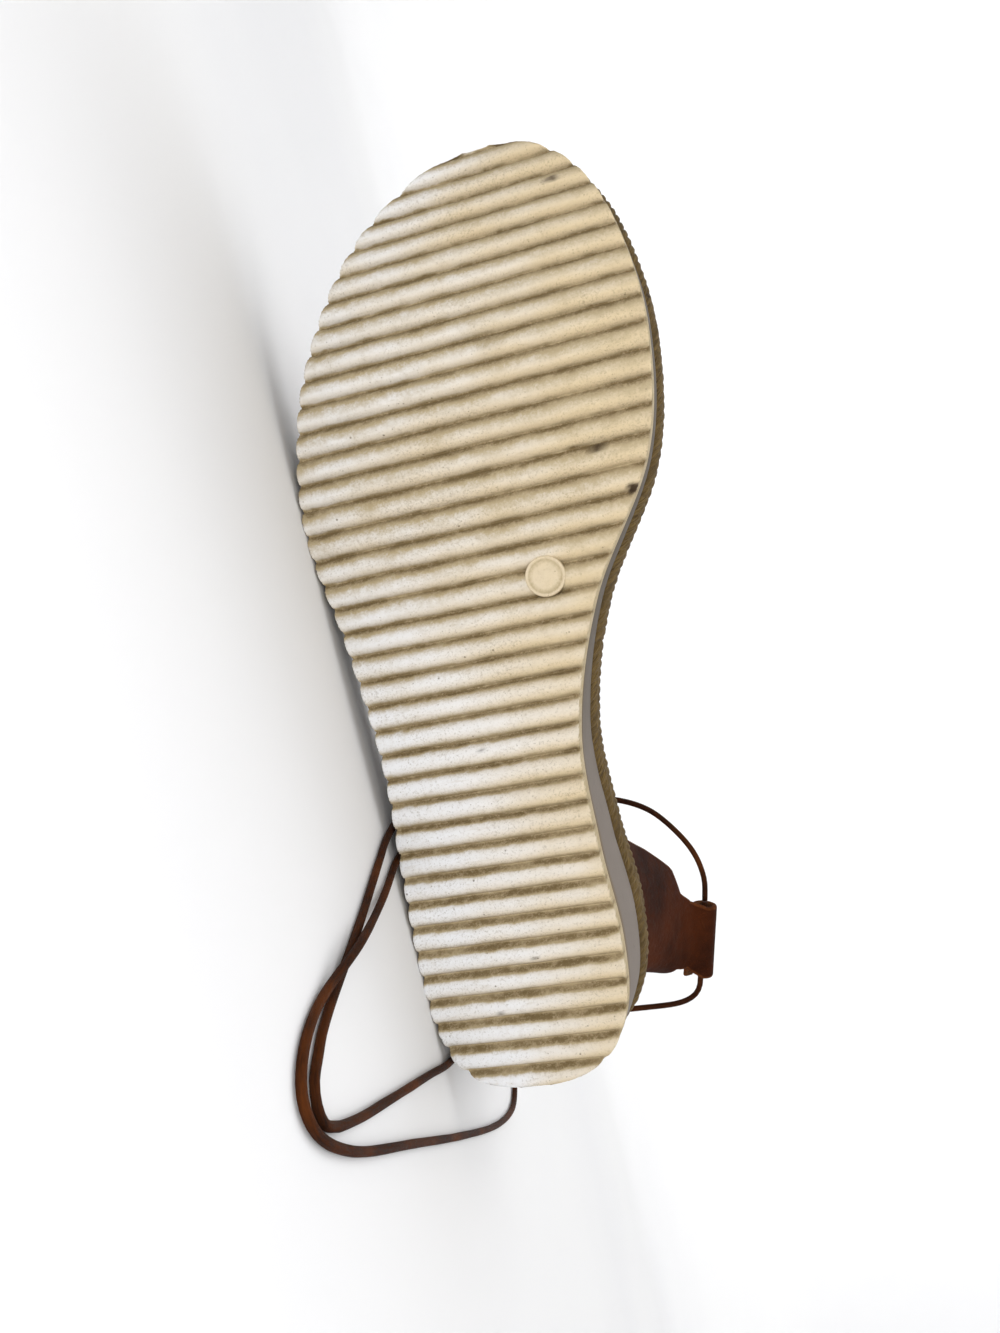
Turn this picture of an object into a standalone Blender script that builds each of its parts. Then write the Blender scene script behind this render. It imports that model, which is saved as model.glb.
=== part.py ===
"""Wedge espadrille sandal for a right foot, lying on its outer side.

The shoe is modelled in its own frame, in metres: +X to the outer side, +Y to the toe, +Z up, and the
crests of the tread on z = 0. The empty shoe_frame then lays the shoe on its outer side on the floor, with
the sole towards -Y and the toe towards -X, and the lace is routed there.
"""

import math
from typing import NamedTuple

import bmesh
import bpy
import numpy as np
from mathutils import Matrix, Vector

for leftover in list(bpy.data.objects):
    bpy.data.objects.remove(leftover)

GAP = 0.0003  # between pieces that touch

# Sole outline: clock angles run from the toe over the outer side to the heel and back over the inner side
SOLE_LENGTH = 0.2505
SOLE_MIDDLE_Y = 0.00315
RING_STEP = 4  # degrees between the corners of a ring round the sole


class Edge(NamedTuple):
    angle: float
    outer: float
    inner: float


OUTLINE = tuple(
    Edge(*row)
    for row in (
        (0, -0.0195, -0.0195),
        (15, -0.0019, -0.0352),
        (30, 0.0150, -0.0464),
        (45, 0.0286, -0.0532),
        (60, 0.0389, -0.0553),
        (75, 0.0428, -0.0494),
        (90, 0.0379, -0.0300),
        (105, 0.0348, -0.0194),
        (120, 0.0357, -0.0184),
        (135, 0.0362, -0.0197),
        (150, 0.0344, -0.0170),
        (165, 0.0275, -0.0074),
        (180, 0.0105, 0.0105),
    )
)
OUTLINE_STEP = 15


# Side profile: toe spring of the tread, height of the wedge's wall, and its flare on the inner side
class Station(NamedTuple):
    y: float
    tread: float
    wall: float
    flare: float


PROFILE = tuple(
    Station(*row)
    for row in (
        (-0.1250, 0.0000, 0.0270, 0.0024),
        (-0.0850, 0.0000, 0.0270, 0.0024),
        (-0.0550, 0.0000, 0.0225, 0.0019),
        (-0.0250, 0.0000, 0.0165, 0.0013),
        (0.0050, 0.0000, 0.0125, 0.0008),
        (0.0350, 0.0000, 0.0110, 0.0006),
        (0.0650, 0.0018, 0.0108, 0.0006),
        (0.0950, 0.0078, 0.0108, 0.0006),
        (0.1280, 0.0195, 0.0108, 0.0006),
    )
)

OUTER_FLARE_SHARE = 0.2

# Ripple tread: phase runs from one groove to the next, toe to heel, and depth is a share of the full depth
RIPPLE_PITCH = 0.00686
RIPPLE_DEPTH = 0.0030
RIDGE_END_ROUND = 0.0008
RIDGE_SHOULDER = 0.0012
OUTSOLE_BASE = 0.0022
TIP_CUT = 0.0002  # the outline's two ends are cut this much short of a point


class Ripple(NamedTuple):
    phase: float
    depth: float


RIPPLES = tuple(
    Ripple(*row)
    for row in (
        (0.00, 0.92),
        (0.07, 0.70),
        (0.20, 0.27),
        (0.40, 0.00),
        (0.60, 0.00),
        (0.80, 0.27),
        (0.93, 0.70),
    )
)

# Rope band round the wedge's upper edge, as its section: distance out from the wall, and rise above the wall
ROPE_INSIDE = 0.0036
ROPE_HEIGHT = 0.0105
ROPE_SWELL = 0.0019


class Bead(NamedTuple):
    out: float
    rise: float


ROPE_SECTION = tuple(
    Bead(*row)
    for row in (
        (-ROPE_INSIDE, GAP),
        (0.0002, GAP),
        (0.75 * ROPE_SWELL, 0.20 * ROPE_HEIGHT),
        (ROPE_SWELL, 0.50 * ROPE_HEIGHT),
        (0.75 * ROPE_SWELL, 0.80 * ROPE_HEIGHT),
        (0.0002, ROPE_HEIGHT),
        (-ROPE_INSIDE, ROPE_HEIGHT),
    )
)

# Footbed and leather
INSOLE_THICKNESS = 0.0030
BED_BELOW_ROPE = 0.0005
LEATHER = 0.0018
SEAT_MARGIN = 0.0100  # the insole is narrowed this far past each leather piece

# Front band over the ball: edges at the sides and on top, heights above the footbed's underside
BAND_BACK_SIDE = 0.0160
BAND_BACK_TOP = 0.0300
BAND_FRONT_SIDE = 0.0600
BAND_FRONT_TOP = 0.0780
BAND_PEAK_TO_INNER = 0.0070
BAND_WIDTH_POWER = 0.75
BAND_HEIGHT_POWER = 0.80
BAND_ACROSS = 24
BAND_ALONG = 7


class Arch(NamedTuple):
    y: float
    height: float


BAND_ARCH = tuple(Arch(*row) for row in ((0.015, 0.056), (0.045, 0.047), (0.080, 0.035)))


# Heel quarter: heel angle is zero at the back of the heel and grows over the outer side
class Quarter(NamedTuple):
    heel_angle: float
    height: float
    lean: float
    sweep: float


QUARTER = tuple(
    Quarter(*row)
    for row in (
        (-56, 0.011, 0.008, 0.005),
        (-41, 0.062, 0.018, 0.016),
        (-27, 0.062, 0.018, 0.016),
        (-18, 0.052, 0.010, 0.009),
        (-10, 0.048, 0.001, 0.002),
        (0, 0.050, -0.006, 0.000),
        (16, 0.047, -0.003, 0.000),
        (32, 0.049, 0.004, 0.002),
        (44, 0.062, 0.0115, 0.006),
        (56, 0.062, 0.0115, 0.006),
        (72, 0.011, 0.004, 0.003),
    )
)
QUARTER_UPRIGHT = 0.0050  # the leather stands straight between rope band and insole
QUARTER_FULL_HEIGHT = 0.0620
QUARTER_LEAN_POWER = 1.5
QUARTER_ROWS = 8
HEEL_BULGE = 0.0015
OUTER_TAB = (44, 56)  # heel angles of a tab's two edges, back and front
INNER_TAB = (-27, -41)

# Rolled tunnel at each tab's tip
TUNNEL_OUTER_RADIUS = 0.0043
TUNNEL_BORE_RADIUS = 0.0020
TUNNEL_RISE = 0.0032
TUNNEL_SIDES = 16

# How the shoe lies: sole towards -Y, toe towards -X, then rolled and pitched onto its three contacts
LYING = Matrix(((0, -1, 0), (0, 0, 1), (-1, 0, 0)))
ROLL = math.radians(8.195)
PITCH = math.radians(3.053)

# Lace: one leather cord through both tunnels, knotted at its ends, routed in the lying shoe's world frame
LACE_DIAMETER = 0.0020
LACE_SMOOTHING = 40  # steps between two route points before the tube's own points are spaced out
ON_FLOOR = 0.5 * LACE_DIAMETER + 0.0001
CROSSING = ON_FLOOR + LACE_DIAMETER + 2 * GAP  # one cord lies on the other
KNOT_RADIUS = 0.0029
KNOT_LENGTH = 0.0070
KNOT_TAIL = 0.0120
KNOT_SIDES = 14
KNOT_ARCS = 8


class Lace(NamedTuple):
    name: str
    spacing: float
    route: tuple


# Through both tunnels, down from the inner tab's back mouth and along the floor to the outer tab's
BAR = Lace(
    "lace_bar",
    0.0090,
    (
        (0.06618, 0.05069, 0.00556),
        (0.0780, 0.0520, 0.0049),
        (0.0882, 0.0530, 0.0042),
        (0.0966, 0.0539, 0.0030),
        (0.1060, 0.0542, ON_FLOOR),
        (0.1155, 0.0529, ON_FLOOR),
        (0.1250, 0.0498, 0.0034),
        (0.1320, 0.0463, 0.0115),
        (0.1366, 0.0434, 0.0260),
        (0.1392, 0.0412, 0.0420),
        (0.1406, 0.0398, 0.0570),
        (0.1411, 0.0390, 0.0655),
        (0.1406, 0.0387, 0.0706),
        (0.1389, 0.0385, 0.0742),
        (0.1360, 0.0383, 0.0763),
        (0.13183, 0.03817, 0.07755),
        (0.12013, 0.03776, 0.08103),
        (0.10721, 0.03731, 0.08486),
    ),
)

# From the outer tab under the waist, out in front of the sole and back past the end of the heel
OUTER_END = Lace(
    "lace_outer_end",
    0.0110,
    (
        (0.06534, 0.05061, 0.0056),
        (0.0611, 0.0496, 0.0046),
        (0.0567, 0.0445, 0.0022),
        (0.0540, 0.0340, ON_FLOOR),
        (0.0525, 0.0170, ON_FLOOR),
        (0.0512, -0.0060, ON_FLOOR),
        (0.0504, -0.0270, ON_FLOOR),
        (0.05053, -0.04399, ON_FLOOR),
        (0.05244, -0.06123, 0.0013),
        (0.05282, -0.07783, 0.0021),
        (0.05214, -0.09494, 0.0034),
        (0.05194, -0.10638, CROSSING),
        (0.05204, -0.11441, 0.0032),
        (0.05254, -0.12000, 0.0022),
        (0.05295, -0.12593, 0.00145),
        (0.05343, -0.13222, ON_FLOOR),
        (0.05431, -0.13841, ON_FLOOR),
        (0.05585, -0.14367, ON_FLOOR),
        (0.05809, -0.14766, ON_FLOOR),
        (0.06089, -0.14995, ON_FLOOR),
        (0.06472, -0.14998, ON_FLOOR),
        (0.06936, -0.14739, ON_FLOOR),
        (0.07553, -0.14041, ON_FLOOR),
        (0.08440, -0.12654, ON_FLOOR),
        (0.1010, -0.0954, ON_FLOOR),
        (0.1240, -0.0524, ON_FLOOR),
        (0.1465, -0.0080, ON_FLOOR),
        (0.1600, 0.0240, ON_FLOOR),
        (0.1640, 0.0430, ON_FLOOR),
        (0.1595, 0.0580, ON_FLOOR),
        (0.1485, 0.0665, 0.0018),
        (0.1360, 0.0685, KNOT_RADIUS + 0.0001),
    ),
)

# From the inner tab down in front of the quarter, under the waist, and round inside the other loop
INNER_END = Lace(
    "lace_inner_end",
    0.0110,
    (
        (0.10654, 0.03729, 0.08506),
        (0.0985, 0.0371, 0.0866),
        (0.0890, 0.0372, 0.0852),
        (0.0793, 0.0379, 0.0803),
        (0.0708, 0.0390, 0.0732),
        (0.0650, 0.0406, 0.0625),
        (0.0614, 0.0426, 0.0480),
        (0.0576, 0.0446, 0.0310),
        (0.0527, 0.0463, 0.0145),
        (0.0474, 0.0463, 0.0042),
        (0.0432, 0.0410, ON_FLOOR),
        (0.0412, 0.0280, ON_FLOOR),
        (0.0411, 0.0060, ON_FLOOR),
        (0.0415, -0.0200, ON_FLOOR),
        (0.04276, -0.04520, ON_FLOOR),
        (0.04525, -0.06011, ON_FLOOR),
        (0.04780, -0.07376, ON_FLOOR),
        (0.05031, -0.08718, ON_FLOOR),
        (0.05223, -0.09876, ON_FLOOR),
        (0.05367, -0.10883, ON_FLOOR),
        (0.05497, -0.11793, ON_FLOOR),
        (0.05628, -0.12630, ON_FLOOR),
        (0.05792, -0.13369, ON_FLOOR),
        (0.05900, -0.13640, ON_FLOOR),
        (0.06015, -0.13925, ON_FLOOR),
        (0.06116, -0.14176, ON_FLOOR),
        (0.06225, -0.14335, ON_FLOOR),
        (0.06384, -0.14444, ON_FLOOR),
        (0.06572, -0.14489, ON_FLOOR),
        (0.06764, -0.14464, ON_FLOOR),
        (0.06934, -0.14372, ON_FLOOR),
        (0.07064, -0.14217, ON_FLOOR),
        (0.07200, -0.13970, ON_FLOOR),
        (0.07400, -0.13590, ON_FLOOR),
        (0.07916, -0.12325, ON_FLOOR),
        (0.08488, -0.10741, ON_FLOOR),
        (0.09175, -0.08840, ON_FLOOR),
        (0.09936, -0.06711, ON_FLOOR),
        (0.10750, -0.04495, ON_FLOOR),
        (0.1116, -0.0290, ON_FLOOR),
        (0.1136, -0.0130, 0.0020),
        (0.1142, -0.0020, KNOT_RADIUS + 0.0001),
    ),
)


def smooth(table, column, at):
    """A column of a short table at y or angle `at`, through a cubic that keeps level stretches level."""
    knots = np.array([row[0] for row in table], float)
    values = np.array([getattr(row, column) for row in table], float)
    steps = np.diff(knots)
    slopes = np.diff(values) / steps
    tangents = np.concatenate((slopes[:1], np.zeros(len(slopes) - 1), slopes[-1:]))
    for i in range(1, len(slopes)):
        if slopes[i - 1] * slopes[i] > 0:
            tangents[i] = 2 * slopes[i - 1] * slopes[i] / (slopes[i - 1] + slopes[i])
    i = int(np.clip(np.searchsorted(knots, at) - 1, 0, len(steps) - 1))
    t = (at - knots[i]) / steps[i]
    start = (1 + 2 * t) * (1 - t) ** 2 * values[i] + t * (1 - t) ** 2 * steps[i] * tangents[i]
    end = t * t * (3 - 2 * t) * values[i + 1] - t * t * (1 - t) * steps[i] * tangents[i + 1]
    return float(start + end)


def tread(y):
    return smooth(PROFILE, "tread", y)


def wall_top(y):
    return tread(y) + smooth(PROFILE, "wall", y)


def bed(y):
    """Height of the footbed's upper face."""
    return wall_top(y) + ROPE_HEIGHT - BED_BELOW_ROPE


def flare(angle):
    """How far the top of the wedge's wall stands outside the tread's outline."""
    to_inner = 0.5 - 0.5 * math.sin(math.radians(angle))
    share = OUTER_FLARE_SHARE + (1 - OUTER_FLARE_SHARE) * to_inner
    return share * smooth(PROFILE, "flare", outline_y(angle))


def rope_inner_face(angle):
    """Offset from the outline at which the wedge's core and the leather stand inside the rope band."""
    return flare(angle) - ROPE_INSIDE - GAP


def outline_x(angle):
    """The outline across the sole, as a closed curve through the rows of OUTLINE."""
    around = [row.outer for row in OUTLINE] + [row.inner for row in OUTLINE[-2:0:-1]]
    place = angle / OUTLINE_STEP
    first = math.floor(place)
    t = place - first
    a, b, c, d = (around[(first + k) % len(around)] for k in (-1, 0, 1, 2))
    return b + 0.5 * t * (c - a + t * (2 * a - 5 * b + 4 * c - d + t * (3 * (b - c) + d - a)))


def outline_y(angle):
    return SOLE_MIDDLE_Y + 0.5 * SOLE_LENGTH * math.cos(math.radians(angle))


def outline_normal(angle):
    reach = 0.5
    across = outline_x(angle + reach) - outline_x(angle - reach)
    along = outline_y(angle + reach) - outline_y(angle - reach)
    return Vector((-along, across, 0)).normalized()


def ring_point(angle, offset, height):
    """A point beside the outline: offset is a function of the angle, and height of y."""
    start = Vector((outline_x(angle), outline_y(angle), 0))
    point = start + offset(angle) * outline_normal(angle)
    return Vector((point.x, point.y, height(point.y)))


def ring(offset, height):
    return [ring_point(angle, offset, height) for angle in range(0, 360, RING_STEP)]


def ring_edges(y, offset):
    """The outer and inner x of an offset ring at y."""
    outer = [ring_point(angle, offset, tread) for angle in range(180, -1, -RING_STEP)]
    inner = [ring_point(angle, offset, tread) for angle in range(180, 361, RING_STEP)]
    return [float(np.interp(y, [p.y for p in side], [p.x for p in side])) for side in (outer, inner)]


def mesh_object(name, mesh_data, collection, material):
    mesh = bpy.data.meshes.new(name)
    mesh_data.to_mesh(mesh)
    mesh_data.free()
    made = bpy.data.objects.new(name, mesh)
    collection.objects.link(made)
    if material:
        mesh.materials.append(material)
    return made


def loft(loops, ends):
    """Faces between closed loops of corners; the ends are capped as polygons or ladders, or wrapped round."""
    mesh = bmesh.new()
    rows = [[mesh.verts.new(point) for point in loop] for loop in loops]
    count = len(rows[0])
    followers = rows[1:] + (rows[:1] if ends == "wrap" else [])
    for row, follower in zip(rows, followers):
        for k in range(count):
            after = (k + 1) % count
            mesh.faces.new((row[k], row[after], follower[after], follower[k]))
    for row in (rows[0], rows[-1]) if ends != "wrap" else ():
        if ends == "polygon":
            mesh.faces.new(row)
            continue
        for k in range(count // 2):
            rung = (row[k], row[k + 1], row[count - k - 1], row[(count - k) % count])
            mesh.faces.new(tuple(dict.fromkeys(rung)))
    bmesh.ops.recalc_face_normals(mesh, faces=mesh.faces)
    return mesh


def sheet(rows):
    """An open surface through rows of points."""
    mesh = bmesh.new()
    corners = [[mesh.verts.new(point) for point in row] for row in rows]
    for row, follower in zip(corners, corners[1:]):
        for k in range(len(row) - 1):
            mesh.faces.new((row[k], row[k + 1], follower[k + 1], follower[k]))
    return mesh


def leather_wall(obj):
    solidify = obj.modifiers.new("leather", "SOLIDIFY")
    solidify.thickness = LEATHER
    solidify.offset = -1
    solidify.use_even_offset = True
    obj.data.shade_smooth()


def material(name, colour, roughness):
    made = bpy.data.materials.new(name)
    made.use_nodes = True
    shader = made.node_tree.nodes["Principled BSDF"]
    shader.inputs["Base Color"].default_value = (*colour, 1)
    shader.inputs["Roughness"].default_value = roughness
    shader.inputs["Metallic"].default_value = 0
    return made


def collection(name):
    made = bpy.data.collections.new(name)
    bpy.context.scene.collection.children.link(made)
    return made


def ripple_stations():
    """(y, depth share) of every row of the tread, from toe to heel, at an even pitch along the toe spring."""
    toe = outline_y(0) - TIP_CUT
    heel = outline_y(180) + TIP_CUT
    ys = np.linspace(heel, toe, 1000)
    steps = np.hypot(np.diff(ys), np.diff([tread(y) for y in ys]))
    along = heel + np.concatenate(([0], np.cumsum(steps)))
    phases = [ripple.phase for ripple in RIPPLES] + [1]
    depths = [ripple.depth for ripple in RIPPLES] + [RIPPLES[0].depth]
    most = math.ceil(along[-1] / RIPPLE_PITCH)
    least = math.floor(along[0] / RIPPLE_PITCH)
    places = [(n - r.phase) * RIPPLE_PITCH for n in range(most, least, -1) for r in RIPPLES]
    places = [s for s in places if along[0] + TIP_CUT < s < along[-1] - TIP_CUT]
    for s in (along[-1], *places, along[0]):
        phase = -s / RIPPLE_PITCH % 1
        yield float(np.interp(s, along, ys)), float(np.interp(phase, phases, depths))


def make_outsole(parts, finish):
    loops = []
    for y, depth in ripple_stations():
        angle = math.degrees(math.acos((y - SOLE_MIDDLE_Y) / (0.5 * SOLE_LENGTH)))
        outer = outline_x(angle)
        inner = outline_x(360 - angle)
        face = tread(y) + depth * RIPPLE_DEPTH
        shoulder = max(tread(y) + RIDGE_SHOULDER, face + GAP)
        top = tread(y) + RIPPLE_DEPTH + OUTSOLE_BASE
        section = (
            (outer - RIDGE_END_ROUND, face),
            (outer, shoulder),
            (outer, top),
            (inner, top),
            (inner, shoulder),
            (inner + RIDGE_END_ROUND, face),
        )
        loops.append([Vector((x, y, z)) for x, z in section])
    return mesh_object("outsole", loft(loops, "polygon"), parts, finish)


def make_midsole(parts, finish):
    rings = (
        ring(lambda angle: 0, lambda y: tread(y) + RIPPLE_DEPTH + OUTSOLE_BASE + GAP),
        ring(flare, wall_top),
        ring(rope_inner_face, wall_top),
        ring(rope_inner_face, lambda y: bed(y) - INSOLE_THICKNESS - GAP),
    )
    return mesh_object("midsole", loft(rings, "ladder"), parts, finish)


def make_rope_band(parts, finish):
    def section(angle):
        return [
            ring_point(angle, lambda a: flare(a) + bead.out, lambda y: wall_top(y) + bead.rise)
            for bead in ROPE_SECTION
        ]

    loops = [section(angle) for angle in range(0, 360, RING_STEP)]
    return mesh_object("rope_band", loft(loops, "wrap"), parts, finish)


def under_leather(y):
    """1 where leather passes down between insole and rope band, 0 where it doesn't."""
    at_quarter = y < outline_y(180 - QUARTER[-1].heel_angle) + SEAT_MARGIN
    at_band = BAND_BACK_SIDE - SEAT_MARGIN < y < BAND_FRONT_SIDE + SEAT_MARGIN
    return 1 if at_quarter or at_band else 0


def make_insole(parts, finish):
    def offset(angle):
        return rope_inner_face(angle) - under_leather(outline_y(angle)) * (LEATHER + 2 * GAP)

    rings = (ring(offset, lambda y: bed(y) - INSOLE_THICKNESS), ring(offset, bed))
    return mesh_object("insole", loft(rings, "ladder"), parts, finish)


def band_point(turn, share):
    """The front band's outer face: turn runs from the outer side over the foot, share from back to front."""
    lift = math.sin(turn)
    back = BAND_BACK_SIDE + lift * (BAND_BACK_TOP - BAND_BACK_SIDE)
    front = BAND_FRONT_SIDE + lift * (BAND_FRONT_TOP - BAND_FRONT_SIDE)
    y = back + share * (front - back)
    outer, inner = ring_edges(y, rope_inner_face)
    reach = math.copysign(abs(math.cos(turn)) ** BAND_WIDTH_POWER, math.cos(turn))
    x = 0.5 * (outer + inner) + 0.5 * (outer - inner) * reach - BAND_PEAK_TO_INNER * lift**2
    rise = smooth(BAND_ARCH, "height", y) * max(lift, 0) ** BAND_HEIGHT_POWER
    return Vector((x, y, bed(y) - INSOLE_THICKNESS + rise))


def make_front_band(parts, finish):
    rows = [
        [band_point(math.pi * k / BAND_ACROSS, row / BAND_ALONG) for k in range(BAND_ACROSS + 1)]
        for row in range(BAND_ALONG, -1, -1)
    ]
    made = mesh_object("upper_front_band", sheet(rows), parts, finish)
    leather_wall(made)
    return made


def quarter_point(heel_angle, height):
    """The quarter's outer face at a height along the leather."""
    angle = 180 - heel_angle
    foot = ring_point(angle, rope_inner_face, lambda y: bed(y) - INSOLE_THICKNESS)
    free = max(0, height - QUARTER_UPRIGHT)
    share = free / (QUARTER_FULL_HEIGHT - QUARTER_UPRIGHT)
    lean = smooth(QUARTER, "lean", heel_angle) * share**QUARTER_LEAN_POWER
    sweep = smooth(QUARTER, "sweep", heel_angle) * share**QUARTER_LEAN_POWER
    bulge = HEEL_BULGE * math.sin(math.pi * min(1, share)) * math.cos(math.radians(heel_angle)) ** 2
    rise = math.sqrt(max(height**2 - lean**2 - sweep**2, 0))
    return foot + (lean + bulge) * outline_normal(angle) + Vector((0, -sweep, rise))


def quarter_column(heel_angle):
    top = smooth(QUARTER, "height", heel_angle)
    free = top - QUARTER_UPRIGHT
    heights = [0] + [QUARTER_UPRIGHT + free * row / QUARTER_ROWS for row in range(QUARTER_ROWS + 1)]
    return [quarter_point(heel_angle, height) for height in heights]


def tunnel_axis(tab):
    """Centre and direction of the tunnel along the tip of a tab."""
    ends = [quarter_point(angle, QUARTER_FULL_HEIGHT + TUNNEL_RISE) for angle in tab]
    return 0.5 * (ends[0] + ends[1]), ends[1] - ends[0]


def tunnel_rod(name, tab, radius, length_scale, helpers):
    centre, run = tunnel_axis(tab)
    mesh = bmesh.new()
    bmesh.ops.create_cone(
        mesh,
        cap_ends=True,
        segments=TUNNEL_SIDES,
        radius1=radius,
        radius2=radius,
        depth=run.length * length_scale,
        matrix=Matrix.Translation(centre) @ run.to_track_quat("Z", "X").to_matrix().to_4x4(),
    )
    rod = mesh_object(name, mesh, helpers, None)
    rod.hide_render = True
    rod.display_type = "WIRE"
    return rod


def make_heel_quarter(parts, helpers, finish):
    first = QUARTER[0].heel_angle
    last = QUARTER[-1].heel_angle
    rows = [quarter_column(angle) for angle in range(last, first - 1, -RING_STEP)]
    made = mesh_object("upper_heel_quarter", sheet(rows), parts, finish)
    leather_wall(made)
    cuts = []
    for tab, label in ((OUTER_TAB, "outer"), (INNER_TAB, "inner")):
        rod = tunnel_rod(f"tunnel_roll_{label}", tab, TUNNEL_OUTER_RADIUS, 1.0, helpers)
        bore = tunnel_rod(f"tunnel_bore_{label}", tab, TUNNEL_BORE_RADIUS, 1.6, helpers)
        cuts += [(rod, "UNION"), (bore, "DIFFERENCE")]
    for helper, operation in sorted(cuts, key=lambda cut: cut[1], reverse=True):
        join = made.modifiers.new(helper.name, "BOOLEAN")
        join.object = helper
        join.operation = operation
    return made, [helper for helper, _ in cuts]


def even_points(route, spacing):
    """Evenly spaced points on a smooth curve through a route's own points."""
    stops = [np.array(point) for point in (route[0], *route, route[-1])]
    fine = []
    for a, b, c, d in zip(stops, stops[1:], stops[2:], stops[3:]):
        for t in np.arange(LACE_SMOOTHING) / LACE_SMOOTHING:
            fine.append(b + 0.5 * t * (c - a + t * (2 * a - 5 * b + 4 * c - d + t * (3 * (b - c) + d - a))))
    fine = np.array(fine + [stops[-1]])
    fine[:, 2] = np.maximum(fine[:, 2], ON_FLOOR)
    along = np.concatenate(([0], np.cumsum(np.linalg.norm(np.diff(fine, axis=0), axis=1))))
    places = np.linspace(0, along[-1], round(along[-1] / spacing) + 1)
    return np.stack([np.interp(places, along, fine[:, axis]) for axis in range(3)], axis=1)


def make_lace(lace, parts, finish):
    points = even_points(lace.route, lace.spacing)
    curve = bpy.data.curves.new(lace.name, "CURVE")
    curve.dimensions = "3D"
    curve.bevel_depth = 0.5 * LACE_DIAMETER
    curve.bevel_resolution = 2
    curve.use_fill_caps = True
    spline = curve.splines.new("POLY")
    spline.points.add(len(points) - 1)
    for target, point in zip(spline.points, points):
        target.co = (*point, 1)
    made = bpy.data.objects.new(lace.name, curve)
    curve.materials.append(finish)
    parts.objects.link(made)


def make_knot(name, lace, parts, finish):
    """A turned knot with a short tail, a gap beyond the end of its lace."""
    turns = [math.pi * k / KNOT_ARCS for k in range(KNOT_ARCS)]
    swell = [(KNOT_RADIUS * math.sin(turn), 0.5 * KNOT_LENGTH * (1 - math.cos(turn))) for turn in turns]
    tip = KNOT_LENGTH + KNOT_TAIL
    tail = [(0.5 * LACE_DIAMETER, KNOT_LENGTH), (0.5 * LACE_DIAMETER, tip), (0, tip)]
    profile = bmesh.new()
    corners = [profile.verts.new((radius, 0, along)) for radius, along in reversed(swell + tail)]
    for corner, follower in zip(corners, corners[1:]):
        profile.edges.new((corner, follower))
    knot = mesh_object(name, profile, parts, finish)
    screw = knot.modifiers.new("turned", "SCREW")
    screw.steps = screw.render_steps = KNOT_SIDES
    screw.use_merge_vertices = True
    screw.merge_threshold = 0.00001
    end, before = (Vector(lace.route[k]) for k in (-1, -2))
    outwards = Vector(((end - before).x, (end - before).y, 0)).normalized()
    knot.location = end + GAP * outwards
    knot.rotation_euler = outwards.to_track_quat("Z", "X").to_euler()


def lay_down(frame, pieces):
    """Lays the shoe on its outer side, with the middle of its box's underside at the origin."""
    turn = Matrix.Rotation(PITCH, 3, "Y") @ Matrix.Rotation(ROLL, 3, "X") @ LYING
    frame.rotation_euler = turn.to_euler()
    bpy.context.view_layer.update()
    graph = bpy.context.evaluated_depsgraph_get()
    corners = []
    for piece in pieces:
        evaluated = piece.evaluated_get(graph)
        corners += [evaluated.matrix_world @ vertex.co for vertex in evaluated.data.vertices]
    low = Vector(min(corner[axis] for corner in corners) for axis in range(3))
    high = Vector(max(corner[axis] for corner in corners) for axis in range(3))
    frame.location = (-0.5 * (low.x + high.x), -0.5 * (low.y + high.y), -low.z)


def main():
    parts = collection("espadrille_sandal")
    helpers = collection("cutters")
    cream_foam = material("cream_foam", (0.80, 0.70, 0.52), 0.55)
    pale_foam = material("pale_foam", (0.72, 0.70, 0.66), 0.50)
    jute = material("jute", (0.52, 0.33, 0.12), 0.90)
    lining = material("tan_lining", (0.30, 0.17, 0.08), 0.70)
    band_leather = material("band_leather", (0.060, 0.022, 0.012), 0.75)
    quarter_leather = material("quarter_leather", (0.060, 0.022, 0.012), 0.75)
    cord_leather = material("cord_leather", (0.085, 0.040, 0.022), 0.60)
    quarter, rods = make_heel_quarter(parts, helpers, quarter_leather)
    shoe = [
        make_outsole(parts, cream_foam),
        make_midsole(parts, pale_foam),
        make_rope_band(parts, jute),
        make_insole(parts, lining),
        make_front_band(parts, band_leather),
        quarter,
    ]
    frame = bpy.data.objects.new("shoe_frame", None)
    parts.objects.link(frame)
    for piece in shoe + rods:
        piece.parent = frame
    lay_down(frame, shoe)
    for lace in (BAR, OUTER_END, INNER_END):
        make_lace(lace, parts, cord_leather)
    make_knot("lace_outer_knot", OUTER_END, parts, cord_leather)
    make_knot("lace_inner_knot", INNER_END, parts, cord_leather)


main()
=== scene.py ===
"""Looks of the wedge espadrille sandal, lying on its outer side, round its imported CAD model.

Every shape is made in the shoe's own frame, in metres: +X to the outer side, +Y to the toe, +Z up, with the
crests of the tread on z = 0. SHOE then carries it to the row frame. The lace is routed in the row frame.
"""

import math

import bmesh
import bpy
import numpy as np
from mathutils import Matrix, Vector


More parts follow.
